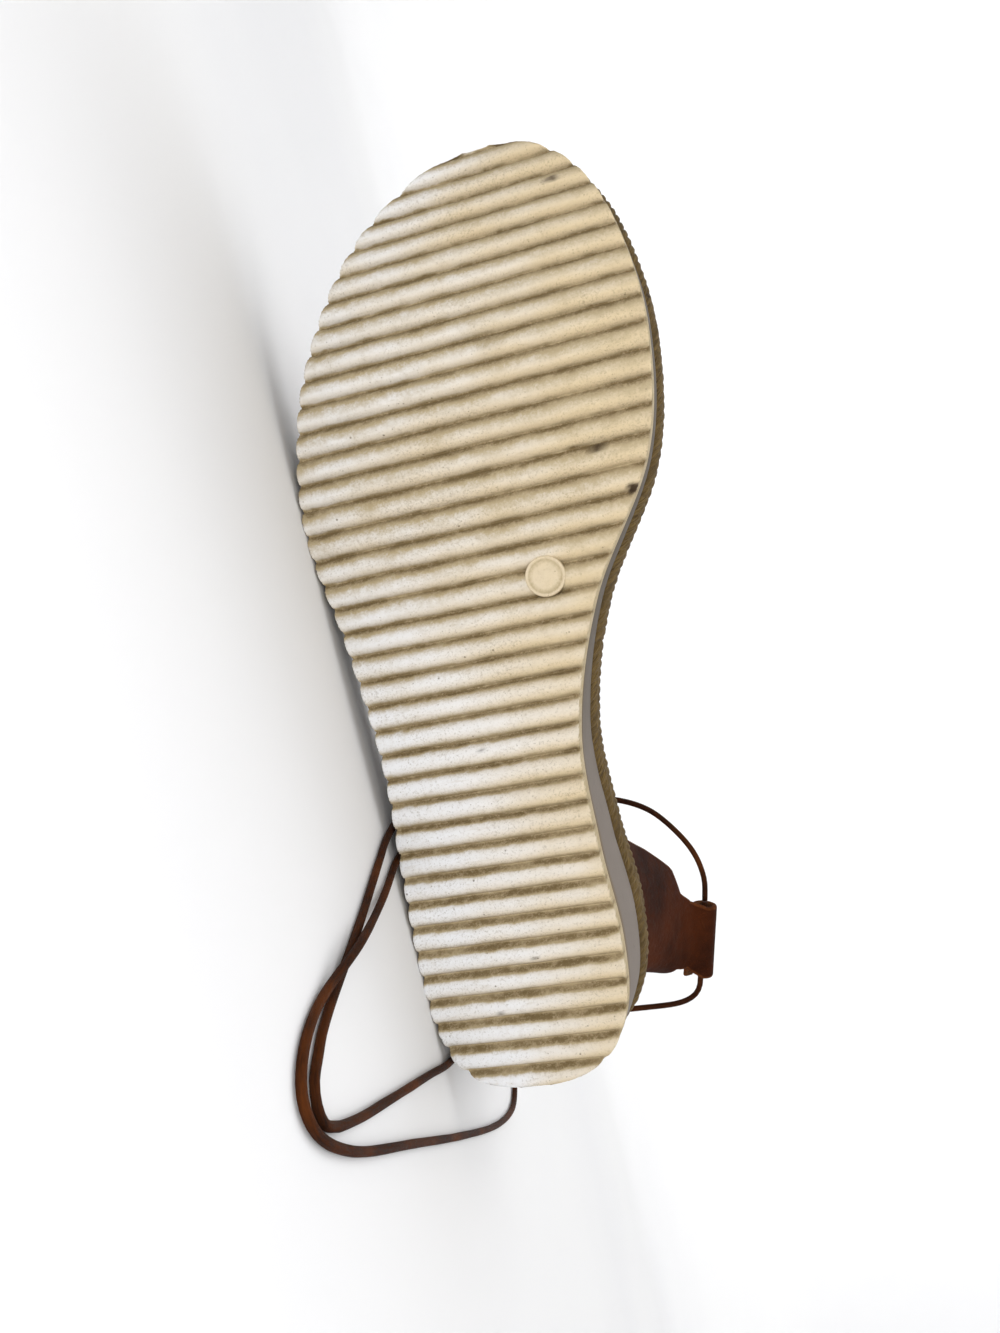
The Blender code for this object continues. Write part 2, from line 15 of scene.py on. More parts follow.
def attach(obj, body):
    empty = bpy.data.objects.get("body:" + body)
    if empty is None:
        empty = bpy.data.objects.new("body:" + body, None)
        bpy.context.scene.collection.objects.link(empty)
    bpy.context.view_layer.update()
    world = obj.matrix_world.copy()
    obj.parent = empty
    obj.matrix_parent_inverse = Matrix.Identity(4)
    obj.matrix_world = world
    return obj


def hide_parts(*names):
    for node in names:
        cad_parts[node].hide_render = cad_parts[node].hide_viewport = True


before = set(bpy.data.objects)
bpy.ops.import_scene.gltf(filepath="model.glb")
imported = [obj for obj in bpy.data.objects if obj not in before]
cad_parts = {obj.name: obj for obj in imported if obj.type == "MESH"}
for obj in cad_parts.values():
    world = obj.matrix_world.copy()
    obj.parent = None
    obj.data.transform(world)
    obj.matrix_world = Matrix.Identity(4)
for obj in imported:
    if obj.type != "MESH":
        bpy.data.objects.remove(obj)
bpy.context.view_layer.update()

GAP = 0.0003

# How the shoe lies, as in the CAD source
LYING = Matrix(((0, -1, 0), (0, 0, 1), (-1, 0, 0)))
ROLL = math.radians(8.195)
PITCH = math.radians(3.053)
SHOE_PLACE = Vector((-0.0038965, -0.0501363, 0.040318))
TURN = Matrix.Rotation(PITCH, 3, "Y") @ Matrix.Rotation(ROLL, 3, "X") @ LYING
SHOE = np.array(Matrix.Translation(SHOE_PLACE) @ TURN.to_4x4())

# Camera: its place and axes as fitted to the photograph, turned to bring the shoe to the middle of the frame
CAMERA_PLACE = Vector((-0.0057455, -0.3009183, 0.061192))
CAMERA_RIGHT = Vector((0.241, -0.063, 0.969))
CAMERA_AHEAD = Vector((-0.01, 0.998, 0.067))
CLIP_START = 0.01
PHOTO_SIZE = (1000, 1333)
PHOTO_FOCUS = 970
SHOE_CENTRE_PIXEL = (378, 752)
SENSOR = 36

# Sole outline, clock angles from the toe over the outer side
SOLE_LENGTH = 0.2505
SOLE_MIDDLE_Y = 0.00315
OUTLINE_OUTER = (
    -0.0195, -0.0019, 0.015, 0.0286, 0.0389, 0.0428, 0.0379, 0.0348, 0.0357, 0.0362, 0.0344, 0.0275, 0.0105,
)
OUTLINE_INNER = (
    -0.0195, -0.0352, -0.0464, -0.0532, -0.0553, -0.0494, -0.03, -0.0194, -0.0184, -0.0197, -0.017,
    -0.0074, 0.0105,
)
OUTLINE_STEP = 15
DEGREES = np.arange(0, 360, 1.0)
AROUND = np.array(OUTLINE_OUTER + OUTLINE_INNER[-2:0:-1])

# Side profile: y, toe spring of the tread, height of the wedge's wall, flare of its inner side
PROFILE = np.array((
    (-0.125, 0.0, 0.027, 0.0024), (-0.085, 0.0, 0.027, 0.0024), (-0.055, 0.0, 0.0225, 0.0019),
    (-0.025, 0.0, 0.0165, 0.0013), (0.005, 0.0, 0.0125, 0.0008), (0.035, 0.0, 0.011, 0.0006),
    (0.065, 0.0018, 0.0108, 0.0006), (0.095, 0.0078, 0.0108, 0.0006), (0.128, 0.0195, 0.0108, 0.0006),
))
OUTER_FLARE_SHARE = 0.2
OUTSOLE_BASE = 0.0022
TIP_CUT = 0.0002

# Ripples: phase from the middle of a groove to the next crest, and depth in shares of RIPPLE_DEPTH
RIPPLE_PITCH = 0.00686
RIPPLE_DEPTH = 0.003
HALF_RIPPLE = (
    (0.0, 0.92), (0.03, 0.87), (0.07, 0.7), (0.12, 0.5), (0.2, 0.27), (0.3, 0.11), (0.4, 0.025), (0.5, 0.0),
)
RIPPLES = np.array(HALF_RIPPLE + tuple((1 - phase, depth) for phase, depth in HALF_RIPPLE[-2::-1]))

ROPE_INSIDE = 0.0036
ROPE_HEIGHT = 0.0105
INSOLE_THICKNESS = 0.003
BED_BELOW_ROPE = 0.0005
LEATHER = 0.0018


def unit(vectors):
    return vectors / np.linalg.norm(vectors, axis=-1, keepdims=True)


def circled(turn, a, b):
    return np.cos(turn)[:, None] * a + np.sin(turn)[:, None] * b


def raised(flat, height):
    return np.concatenate((flat, height[..., None]), -1)


def running_length(path):
    return np.concatenate(([0], np.cumsum(np.linalg.norm(np.diff(path, axis=0), axis=1))))


def on_path(path, along, places):
    return np.stack([np.interp(places, along, column) for column in path.T], 1)


def spline(a, b, c, d, t):
    """The smooth curve through four places, between the middle two."""
    return b + 0.5 * t * (c - a + t * (2 * a - 5 * b + 4 * c - d + t * (3 * (b - c) + d - a)))


def monotone(table, column, at):
    """A column of a table at many places, through a cubic that keeps level stretches level."""
    knots, values = table[:, 0], table[:, column]
    steps = np.diff(knots)
    slopes = np.diff(values) / steps
    tangents = np.concatenate((slopes[:1], np.zeros(len(slopes) - 1), slopes[-1:]))
    product = slopes[:-1] * slopes[1:]
    inner = product > 0
    tangents[1:-1][inner] = 2 * product[inner] / (slopes[:-1] + slopes[1:])[inner]
    at = np.asarray(at, float)
    i = np.clip(np.searchsorted(knots, at) - 1, 0, len(steps) - 1)
    t = (at - knots[i]) / steps[i]
    start = (1 + 2 * t) * (1 - t) ** 2 * values[i] + t * (1 - t) ** 2 * steps[i] * tangents[i]
    end = t * t * (3 - 2 * t) * values[i + 1] - t * t * (1 - t) * steps[i] * tangents[i + 1]
    return start + end


def tread(y):
    return monotone(PROFILE, 1, y)


def wall_top(y):
    return tread(y) + monotone(PROFILE, 2, y)


def bed(y):
    return wall_top(y) + ROPE_HEIGHT - BED_BELOW_ROPE


def seat(y):
    """Height of the insole's underside, where the leather starts."""
    return bed(y) - INSOLE_THICKNESS


def outline_x(angle):
    place = np.asarray(angle, float) / OUTLINE_STEP
    first = np.floor(place).astype(int)
    return spline(*(AROUND[(first + k) % len(AROUND)] for k in (-1, 0, 1, 2)), place - first)


def outline_y(angle):
    return SOLE_MIDDLE_Y + 0.5 * SOLE_LENGTH * np.cos(np.radians(angle))


def outline_normal(angle):
    across = outline_x(angle + 0.5) - outline_x(angle - 0.5)
    along = outline_y(angle + 0.5) - outline_y(angle - 0.5)
    return unit(np.stack((-along, across), -1))


def outwards(angle):
    """The outline's normal, level in the shoe's frame."""
    return np.pad(outline_normal(angle), ((0, 0), (0, 1)))


def flare(angle):
    to_inner = 0.5 - 0.5 * np.sin(np.radians(angle))
    return (OUTER_FLARE_SHARE + (1 - OUTER_FLARE_SHARE) * to_inner) * monotone(PROFILE, 3, outline_y(angle))


def rope_inner_face(angle):
    return flare(angle) - ROPE_INSIDE - GAP


def ring(angles, offset, height):
    """Points beside the outline: offset per angle, and a height function of y."""
    angles = np.asarray(angles, float)
    outline = np.stack((outline_x(angles), outline_y(angles)), -1)
    flat = outline + np.asarray(offset)[..., None] * outline_normal(angles)
    return raised(flat, height(flat[:, 1]))


def smoothstep(low, high, value):
    t = np.clip((value - low) / (high - low), 0, 1)
    return t * t * (3 - 2 * t)


def window(rise, fall, value):
    return smoothstep(*rise, value) * smoothstep(*fall, value)


WANDER_WAVES = 5
WANDER_FINER = 1.7
WANDER_FADE = 0.6
WANDER_LEVEL = 2.4


def wander(places, size, wavelength, seed, octaves=3):
    """Smooth pseudo-random values of about a size either way: sums of sines in fixed random directions."""
    own = np.random.default_rng(seed)
    places = np.asarray(places, float)
    total, weight = 0, 0
    for octave in range(octaves):
        strength = WANDER_FADE**octave
        for _ in range(WANDER_WAVES):
            direction = own.normal(size=places.shape[-1])
            direction *= (math.tau * WANDER_FINER**octave / wavelength) / np.linalg.norm(direction)
            total = total + strength * np.sin(places @ direction + own.uniform(0, math.tau))
        weight += strength * WANDER_LEVEL
    return size * (total / weight)


def to_world(points):
    return points @ SHOE[:3, :3].T + SHOE[:3, 3]


def linked(made):
    bpy.context.scene.collection.objects.link(made)
    return made


def grid_faces(n, m, wrap_rows=False, wrap_columns=False):
    return [
        (i * m + j, i * m + (j + 1) % m, (i + 1) % n * m + (j + 1) % m, (i + 1) % n * m + j)
        for i in range(n if wrap_rows else n - 1)
        for j in range(m if wrap_columns else m - 1)
    ]


WELD_REACH = 2e-6


class Build:
    """Vertices and faces gathered for one piece, with float attributes and a UV per vertex."""

    def __init__(self):
        self.points, self.faces, self.values, self.uvs = [], [], {}, []
        self.count = 0

    def add(self, points, faces, uv=None, **values):
        points = np.asarray(points, float).reshape(-1, 3)
        self.points.append(points)
        self.faces += [tuple(int(i) + self.count for i in face) for face in faces]
        self.uvs.append(np.zeros((len(points), 2)) if uv is None else np.asarray(uv, float).reshape(-1, 2))
        for name in sorted({*self.values, *values}):
            rows = self.values.setdefault(name, [np.zeros(self.count)])
            rows.append(np.broadcast_to(np.ravel(values.get(name, 0.0)), (len(points),)))
        self.count += len(points)

    def grid(self, rows, wrap_rows=False, wrap_columns=False, uv=None, **values):
        rows = np.asarray(rows, float)
        self.add(rows, grid_faces(*rows.shape[:2], wrap_rows, wrap_columns), uv, **values)

    def made(self, name, material, slot, node=None, world=False, weld=False):
        """The piece, which stands for a CAD node. To weld it joins shared corners and fills its open ends."""
        points = np.concatenate(self.points)
        mesh = bpy.data.meshes.new(name)
        mesh.from_pydata((points if world else to_world(points)).tolist(), [], self.faces)
        for key, rows in self.values.items():
            values = np.concatenate(rows).astype(np.float32)
            mesh.attributes.new(key, "FLOAT", "POINT").data.foreach_set("value", values)
        corners = np.zeros(len(mesh.loops), np.int32)
        mesh.loops.foreach_get("vertex_index", corners)
        uvs = np.concatenate(self.uvs)[corners].astype(np.float32)
        mesh.uv_layers.new(name="UVMap").data.foreach_set("uv", uvs.ravel())
        mesh.materials.append(material)
        shape = bmesh.new()
        shape.from_mesh(mesh)
        if weld:
            bmesh.ops.remove_doubles(shape, verts=shape.verts, dist=WELD_REACH)
            bmesh.ops.holes_fill(shape, edges=[edge for edge in shape.edges if edge.is_boundary], sides=0)
        bmesh.ops.recalc_face_normals(shape, faces=shape.faces)
        shape.to_mesh(mesh)
        shape.free()
        mesh.shade_smooth()
        made = linked(bpy.data.objects.new(name, mesh))
        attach(made, "root")
        if node:
            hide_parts(node)
        return made


def cap(loop_start, count):
    """A cap over a loop of vertices, as a ladder of quads across it."""
    faces = []
    for k in range(count // 2):
        rung = (k, k + 1, count - k - 1, (count - k) % count)
        faces.append(tuple(loop_start + i for i in dict.fromkeys(rung)))
    return faces


TUBE_UP = (0.13, 0.21, 1.0)
UV_PER_METRE = 100

# Rounded end of a tube, in shares of its radius: radius and distance past the end
TUBE_TIP = ((0.8, 0.45), (0.38, 0.7))


def tube(build, path, radius, sides, rounded=True):
    """A round tube along a path, closed at both ends, with UV along and round it."""
    tangent = unit(np.gradient(path, axis=0))
    sideways = [unit(np.cross(tangent[0], TUBE_UP))]
    for ahead in tangent[1:]:
        sideways.append(unit(sideways[-1] - (sideways[-1] @ ahead) * ahead))
    other = np.cross(tangent, sideways)
    radius = np.broadcast_to(radius, (len(path),))
    rings = list(zip(path, radius, running_length(path), sideways, other))
    if rounded:
        tips = []
        for end, sign, ahead in ((rings[0], -1, tangent[0]), (rings[-1], 1, tangent[-1])):
            centre, r, place, a, b = end
            tips.append([
                (centre + sign * ahead * reach * r, share * r, place + sign * reach * r, a, b)
                for share, reach in TUBE_TIP
            ])
        rings = tips[0][::-1] + rings + tips[1]
    turn = math.tau * np.arange(sides) / sides
    rows = [centre + r * circled(turn, a, b) for centre, r, _, a, b in rings]
    uv = [np.stack((np.full(sides, place * UV_PER_METRE), turn / math.tau), 1) for _, _, place, _, _ in rings]
    start, end = build.count, build.count + len(rows) * sides
    build.grid(rows, wrap_columns=True, uv=uv)
    build.faces += [tuple(range(start, start + sides)), tuple(range(end - sides, end))]


def linear(rgb):
    """Linear colour of 8-bit screen values."""
    shares = [v / 255 for v in rgb]
    return (*(s / 12.92 if s <= 0.04045 else ((s + 0.055) / 1.055) ** 2.4 for s in shares), 1)


class Paint:
    """A short way to lay out a material's nodes. Colours are given as 8-bit screen values."""

    def __init__(self, name):
        self.material = bpy.data.materials.new(name)
        self.material.use_nodes = True
        self.tree = self.material.node_tree

    def put(self, node, inputs):
        for key, value in inputs.items():
            socket = node.inputs[key]
            if isinstance(value, bpy.types.NodeSocket):
                self.tree.links.new(value, socket)
            else:
                socket.default_value = linear(value) if socket.type == "RGBA" else value

    def node(self, kind, inputs, **settings):
        made = self.tree.nodes.new("ShaderNode" + kind)
        for key, value in settings.items():
            setattr(made, key, value)
        self.put(made, inputs)
        return made

    def attribute(self, name):
        return self.node("Attribute", {}, attribute_name=name).outputs["Fac"]

    def place(self, scale=(1, 1, 1), kind="Object"):
        coordinates = self.node("TexCoord", {}).outputs[kind]
        return self.node("Mapping", {"Vector": coordinates, "Scale": scale}).outputs["Vector"]

    def noise(self, vector, scale, detail, rough, distortion=0.0):
        inputs = {"Vector": vector, "Scale": scale, "Detail": detail, "Roughness": rough}
        return self.node("TexNoise", inputs | {"Distortion": distortion}).outputs["Fac"]

    def cells(self, vector, scale, feature="F1"):
        inputs = {"Vector": vector, "Scale": scale}
        return self.node("TexVoronoi", inputs, feature=feature).outputs["Distance"]

    def ramp(self, value, low, high, start=0.0, end=1.0):
        inputs = {"Value": value, "From Min": low, "From Max": high, "To Min": start, "To Max": end}
        return self.node("MapRange", inputs, interpolation_type="SMOOTHSTEP").outputs["Result"]

    def plus(self, a, b):
        return self.node("Math", {0: a, 1: b}, operation="ADD").outputs[0]

    def times(self, a, b):
        return self.node("Math", {0: a, 1: b}, operation="MULTIPLY").outputs[0]

    def mix(self, share, a, b):
        return self.node("Mix", {0: share, 6: a, 7: b}, data_type="RGBA").outputs[2]

    def layers(self, colour, *rows):
        """Colours over a first one, each laid by a value from low to high, up to a strength."""
        for value, low, high, strength, over in rows:
            colour = self.mix(self.ramp(value, low, high, 0, strength), colour, over)
        return colour

    def bump(self, height, distance, strength, under=None):
        inputs = {"Height": height, "Distance": distance, "Strength": strength}
        if under is not None:
            inputs["Normal"] = under
        return self.node("Bump", inputs).outputs["Normal"]

    def finish(self, colour, roughness, normal, **constants):
        inputs = {key.replace("_", " "): value for key, value in constants.items()}
        inputs |= {"Base Color": colour, "Roughness": roughness, "Normal": normal}
        self.put(self.tree.nodes["Principled BSDF"], inputs)
        return self.material


def tread_foam():
    """Cast foam of the ripple sheet, creamier to the inner side with painted warm light, with dirty grooves,
    painted shade on the flanks and scuffed crests.
    """
    p = Paint("cream_foam_worn")
    at = p.place()
    broad, fine, grit = p.noise(at, 38, 4, 0.6), p.noise(at, 420, 5, 0.7), p.noise(at, 1700, 3, 0.75)
    streak = p.noise(p.place((900, 160, 160)), 1.0, 4, 0.65)
    # The cream laid here is partly painted warm light, on the inner side and behind each crest.
    warmth = p.plus(p.attribute("cream"), p.times(broad, 0.35))
    dusty = p.times(grit, p.plus(p.times(broad, 0.5), 0.75))
    rubbed = p.times(p.ramp(streak, 0.55, 0.78), p.times(p.attribute("crest"), 0.3))
    clumps = p.plus(p.times(fine, 0.6), p.times(grit, 0.5))
    # patchy follows dirt with painted shade: dirt in the grooves and painted shade on the flanks turned from
    # the light, laid by the last two colours below.
    patchy = p.times(p.attribute("dirt"), p.ramp(clumps, 0.38, 0.64, 0.7, 1.14))
    specked = p.layers(
        (230, 230, 231), (warmth, 0.15, 1.0, 1, (210, 191, 156)), (fine, 0.5, 0.8, 0.26, (168, 152, 124)),
        (dusty, 0.52, 0.72, 0.42, (126, 110, 86)),
    )
    dirty_and_shaded = p.layers(
        p.mix(rubbed, specked, (170, 150, 116)), (p.cells(at, 420), 0.1, 0.05, 0.5, (120, 104, 80)),
        (p.cells(at, 165), 0.065, 0.03, 0.7, (92, 78, 58)), (patchy, 0.02, 0.56, 1, (176, 159, 126)),
        (patchy, 0.5, 1.04, 1, (124, 106, 74)),
    )
    stained = p.mix(p.attribute("stain"), dirty_and_shaded, (70, 56, 40))
    normal = p.bump(grit, 0.00018, 0.45, p.bump(fine, 0.0006, 0.35))
    return p.finish(stained, p.ramp(fine, 0.3, 0.7, 0.66, 0.84), normal, Specular_IOR_Level=0.22)


def wall_foam():
    """Grey smooth wall of the wedge, painted grey-brown as shade and darker towards the toe, with faint
    moulding streaks and dirt along its lower lip.
    """
    p = Paint("pale_foam_wall")
    at = p.place()
    broad = p.noise(at, 45, 4, 0.6)
    # Painted shade: the wall's base colours are darkened to grey-brown, and darker still towards the toe.
    tone = p.plus(p.attribute("fore"), p.times(broad, 0.5))
    base = p.layers((117, 107, 98), (tone, 0.15, 1.15, 1, (90, 82, 72)))
    soiled = p.times(p.ramp(p.attribute("rise"), 0.16, 0.02), p.ramp(broad, 0.25, 0.6, 0.55, 0.95))
    streak = p.noise(p.place((90, 90, 900)), 1.0, 3, 0.7)
    specked = p.layers(
        p.mix(soiled, base, (112, 94, 68)), (streak, 0.62, 0.75, 0.35, (96, 86, 76)),
        (p.cells(at, 330), 0.085, 0.045, 0.5, (70, 58, 46)),
    )
    return p.finish(specked, 0.62, p.bump(p.noise(at, 600, 4, 0.7), 0.0003, 0.25), Specular_IOR_Level=0.15)


def jute():
    """Golden bast yarn, its colours darkened as painted shade: fibres along each strand, darker gaps, pale
    loose fibres and a few dark flaws.
    """
    p = Paint("jute_rope")
    fibre = p.noise(p.place((1.6, 11, 1), "UV"), 2.2, 5, 0.7, 0.4)
    hair = p.noise(p.place((0.9, 30, 1), "UV"), 2.0, 4, 0.75, 0.8)
    at = p.place()
    broad = p.noise(at, 60, 3, 0.6)
    # Painted shade: all the yarn's colours are darkened, as for a rope lying in shade.
    yarn = p.layers(
        (68, 52, 28), (fibre, 0.3, 0.72, 1, (138, 114, 69)), (broad, 0.35, 0.75, 0.45, (110, 88, 49)),
        (hair, 0.6, 0.76, 0.75, (172, 147, 99)), (p.cells(at, 120), 0.13, 0.07, 0.75, (58, 41, 22)),
    )
    normal = p.bump(hair, 0.0003, 0.7, p.bump(fibre, 0.0007, 0.8))
    return p.finish(yarn, 0.88, normal, Specular_IOR_Level=0.15, Sheen_Weight=0.08, Sheen_Roughness=0.5)


def upper_leather():
    """Matt waxy leather, its ground mixed by noise between a painted shaded tone and a lit tone: pores, fine
    creases, a lighter nap where it is rubbed, and paler cut edges.
    """
    p = Paint("upper_leather_worn")
    # Painted shade: dark is the leather's shaded tone and light its lit tone, and the noise between them
    # stands in for shadow.
    dark, light, worn, lined = (32, 13, 6), (74, 34, 13), (100, 55, 26), (84, 58, 38)
    at = p.place()
    nap = p.noise(at, 520, 5, 0.7)
    lit_and_shaded = p.layers(dark, (p.noise(at, 30, 4, 0.6), 0.3, 0.72, 1, light), (nap, 0.45, 0.75, 0.35, light))
    at_edge = p.times(p.ramp(p.attribute("edge"), 0.35, 1.0), p.ramp(nap, 0.3, 0.65, 0.25, 0.85))
    scratch = p.noise(p.place((70, 420, 420)), 1.0, 4, 0.7, 0.6)
    flesh = p.layers(lined, (nap, 0.35, 0.75, 1, worn))
    sided = p.layers(
        p.mix(at_edge, lit_and_shaded, worn), (scratch, 0.66, 0.78, 0.35, worn),
        (p.attribute("inside"), 0.45, 0.95, 1, flesh),
    )
    normal = p.bump(nap, 0.0004, 0.35)
    normal = p.bump(p.ramp(p.cells(at, 420, "DISTANCE_TO_EDGE"), 0.0, 0.09), 0.00022, 0.45, normal)
    normal = p.bump(p.ramp(p.cells(at, 1300), 0.1, 0.32), 0.0001, 0.35, normal)
    return p.finish(sided, p.ramp(nap, 0.3, 0.7, 0.66, 0.84), normal, Specular_IOR_Level=0.05)


def lining():
    """Tan lining of the footbed: soft nap, darker at heel, ball and toes where the foot rests."""
    p = Paint("tan_lining_worn")
    at = p.place()
    broad, nap = p.noise(at, 26, 4, 0.6), p.noise(at, 700, 4, 0.7)
    base = p.layers((126, 94, 66), (broad, 0.3, 0.75, 1, (104, 75, 51)))
    pressed = p.times(p.attribute("trodden"), p.ramp(broad, 0.2, 0.7, 0.45, 0.75))
    soft = p.layers(p.mix(pressed, base, (62, 42, 28)), (nap, 0.5, 0.8, 0.3, (150, 118, 86)))
    normal = p.bump(p.ramp(p.cells(at, 900), 0.08, 0.3), 0.00012, 0.35, p.bump(nap, 0.0003, 0.4))
    return p.finish(soft, 0.74, normal, Specular_IOR_Level=0.3, Sheen_Weight=0.15, Sheen_Roughness=0.5)


def cord_leather():
    """Round leather lace: rubbed ridges along it, small pale flecks and a waxy dark ground."""
    p = Paint("cord_leather_worn")
    grain = p.noise(p.place((1.3, 5, 1), "UV"), 2.5, 5, 0.7, 0.5)
    fleck = p.noise(p.place((3.0, 9, 1), "UV"), 4.0, 4, 0.7)
    rubbed = p.layers(
        (24, 10, 5), (grain, 0.28, 0.72, 1, (68, 33, 10)),
        (p.noise(p.place(), 40, 3, 0.6), 0.4, 0.72, 0.6, (98, 50, 13)),
        (fleck, 0.66, 0.76, 0.45, (158, 104, 52)),
    )
    normal = p.bump(fleck, 0.00015, 0.5, p.bump(grain, 0.0004, 0.7))
    return p.finish(rubbed, p.ramp(grain, 0.3, 0.7, 0.56, 0.74), normal, Specular_IOR_Level=0.07)


def floor_paint():
    p = Paint("pale_floor")
    at = p.place()
    clouded = p.layers((240, 240, 240), (p.noise(at, 3.0, 3, 0.5), 0.3, 0.7, 1, (236, 236, 237)))
    return p.finish(clouded, 0.85, p.bump(p.noise(at, 900, 2, 0.5), 0.00005, 0.2), Specular_IOR_Level=0.1)


# Front band over the ball, as in the CAD source
BAND_BACK_SIDE = 0.016
BAND_BACK_TOP = 0.03
BAND_FRONT_SIDE = 0.06
BAND_FRONT_TOP = 0.078
BAND_PEAK_TO_INNER = 0.007
BAND_WIDTH_POWER = 0.75
BAND_HEIGHT_POWER = 0.8
BAND_ARCH = np.array(((0.015, 0.056), (0.045, 0.047), (0.08, 0.035)))

# Heel quarter: heel angle, height, lean and sweep, as in the CAD source
QUARTER = np.array((
    (-56, 0.011, 0.008, 0.005), (-41, 0.062, 0.018, 0.016), (-27, 0.062, 0.018, 0.016),
    (-18, 0.052, 0.01, 0.009), (-10, 0.048, 0.001, 0.002), (0, 0.05, -0.006, 0.0), (16, 0.047, -0.003, 0.0),
    (32, 0.049, 0.004, 0.002), (44, 0.062, 0.0115, 0.006), (56, 0.062, 0.0115, 0.006),
    (72, 0.011, 0.004, 0.003),
))
QUARTER_UPRIGHT = 0.005
QUARTER_FULL_HEIGHT = 0.062
QUARTER_LEAN_POWER = 1.5
HEEL_BULGE = 0.0015
OUTER_TAB = (44, 56)
INNER_TAB = (-27, -41)
TUNNEL_OUTER_RADIUS = 0.0043
TUNNEL_RISE = 0.0032

# Lace, routed in the row frame, as in the CAD source
LACE_DIAMETER = 0.002
FLOOR_GAP = 0.0001
ON_FLOOR = 0.5 * LACE_DIAMETER + FLOOR_GAP
CROSSING = ON_FLOOR + LACE_DIAMETER + 2 * GAP
KNOT_RADIUS = 0.0029
KNOT_ON_FLOOR = KNOT_RADIUS + FLOOR_GAP


def laid(*points):
    """A route whose points lie on the floor where they give no height."""
    return tuple((*point, ON_FLOOR)[:3] for point in points)


BAR = laid(
    (0.06618, 0.05069, 0.00556), (0.078, 0.052, 0.0049), (0.0882, 0.053, 0.0042), (0.0966, 0.0539, 0.003),
    (0.106, 0.0542), (0.1155, 0.0529), (0.125, 0.0498, 0.0034), (0.132, 0.0463, 0.0115),
    (0.1366, 0.0434, 0.026), (0.1392, 0.0412, 0.042), (0.1406, 0.0398, 0.057), (0.1411, 0.039, 0.0655),
    (0.1406, 0.0387, 0.0706), (0.1389, 0.0385, 0.0742), (0.136, 0.0383, 0.0763), (0.13183, 0.03817, 0.07755),
    (0.12013, 0.03776, 0.08103), (0.10721, 0.03731, 0.08486),
)
OUTER_END = laid(
    (0.06534, 0.05061, 0.0056), (0.0611, 0.0496, 0.0046), (0.0567, 0.0445, 0.0022), (0.054, 0.034),
    (0.0525, 0.017), (0.0512, -0.006), (0.0504, -0.027), (0.05053, -0.04399), (0.05244, -0.06123, 0.0013),
    (0.05282, -0.07783, 0.0021), (0.05214, -0.09494, 0.0034), (0.05194, -0.10638, CROSSING),
    (0.05204, -0.11441, 0.0032), (0.05254, -0.12, 0.0022), (0.05295, -0.12593, 0.00145), (0.05343, -0.13222),
    (0.05431, -0.13841), (0.05585, -0.14367), (0.05809, -0.14766), (0.06089, -0.14995), (0.06472, -0.14998),
    (0.06936, -0.14739), (0.07553, -0.14041), (0.0844, -0.12654), (0.101, -0.0954), (0.124, -0.0524),
    (0.1465, -0.008), (0.16, 0.024), (0.164, 0.043), (0.1595, 0.058), (0.1485, 0.0665, 0.0018),
    (0.136, 0.0685, KNOT_ON_FLOOR),
)
INNER_END = laid(
    (0.10654, 0.03729, 0.08506), (0.0985, 0.0371, 0.0866), (0.089, 0.0372, 0.0852), (0.0793, 0.0379, 0.0803),
    (0.0708, 0.039, 0.0732), (0.065, 0.0406, 0.0625), (0.0614, 0.0426, 0.048), (0.0576, 0.0446, 0.031),
    (0.0527, 0.0463, 0.0145), (0.0474, 0.0463, 0.0042), (0.0432, 0.041), (0.0412, 0.028), (0.0411, 0.006),
    (0.0415, -0.02), (0.04276, -0.0452), (0.04525, -0.06011), (0.0478, -0.07376), (0.05031, -0.08718),
    (0.05223, -0.09876), (0.05367, -0.10883), (0.05497, -0.11793), (0.05628, -0.1263), (0.05792, -0.13369),
    (0.059, -0.1364), (0.06015, -0.13925), (0.06116, -0.14176), (0.06225, -0.14335), (0.06384, -0.14444),
    (0.06572, -0.14489), (0.06764, -0.14464), (0.06934, -0.14372), (0.07064, -0.14217), (0.072, -0.1397),
    (0.074, -0.1359), (0.07916, -0.12325), (0.08488, -0.10741), (0.09175, -0.0884), (0.09936, -0.06711),
    (0.1075, -0.04495), (0.1116, -0.029), (0.1136, -0.013, 0.002), (0.1142, -0.002, KNOT_ON_FLOOR),
)
LACE_SPACING = 0.002
LACE_SIDES = 12
LACE_SMOOTHING = 40
LACE_UNEVEN = (0.03, 0.02, 21)
LACE_THINNED = 0.02


def square_axes(ahead, right):
    ahead = ahead.normalized()
    right = (right - right.dot(ahead) * ahead).normalized()
    return ahead, right, ahead.cross(right)


def make_camera():
    ahead, right, down = square_axes(CAMERA_AHEAD, CAMERA_RIGHT)
    across, below = ((SHOE_CENTRE_PIXEL[k] - 0.5 * PHOTO_SIZE[k]) / PHOTO_FOCUS for k in range(2))
    ahead, right, down = square_axes(ahead + across * right + below * down, right)
    data = bpy.data.cameras.new("camera")
    data.sensor_width = SENSOR
    data.lens = PHOTO_FOCUS * SENSOR / PHOTO_SIZE[1]
    data.clip_start = CLIP_START
    camera = linked(bpy.data.objects.new("camera", data))
    axes = Matrix((right, -down, -ahead)).transposed()
    camera.matrix_world = Matrix.Translation(CAMERA_PLACE) @ axes.to_4x4()
    bpy.context.scene.camera = camera


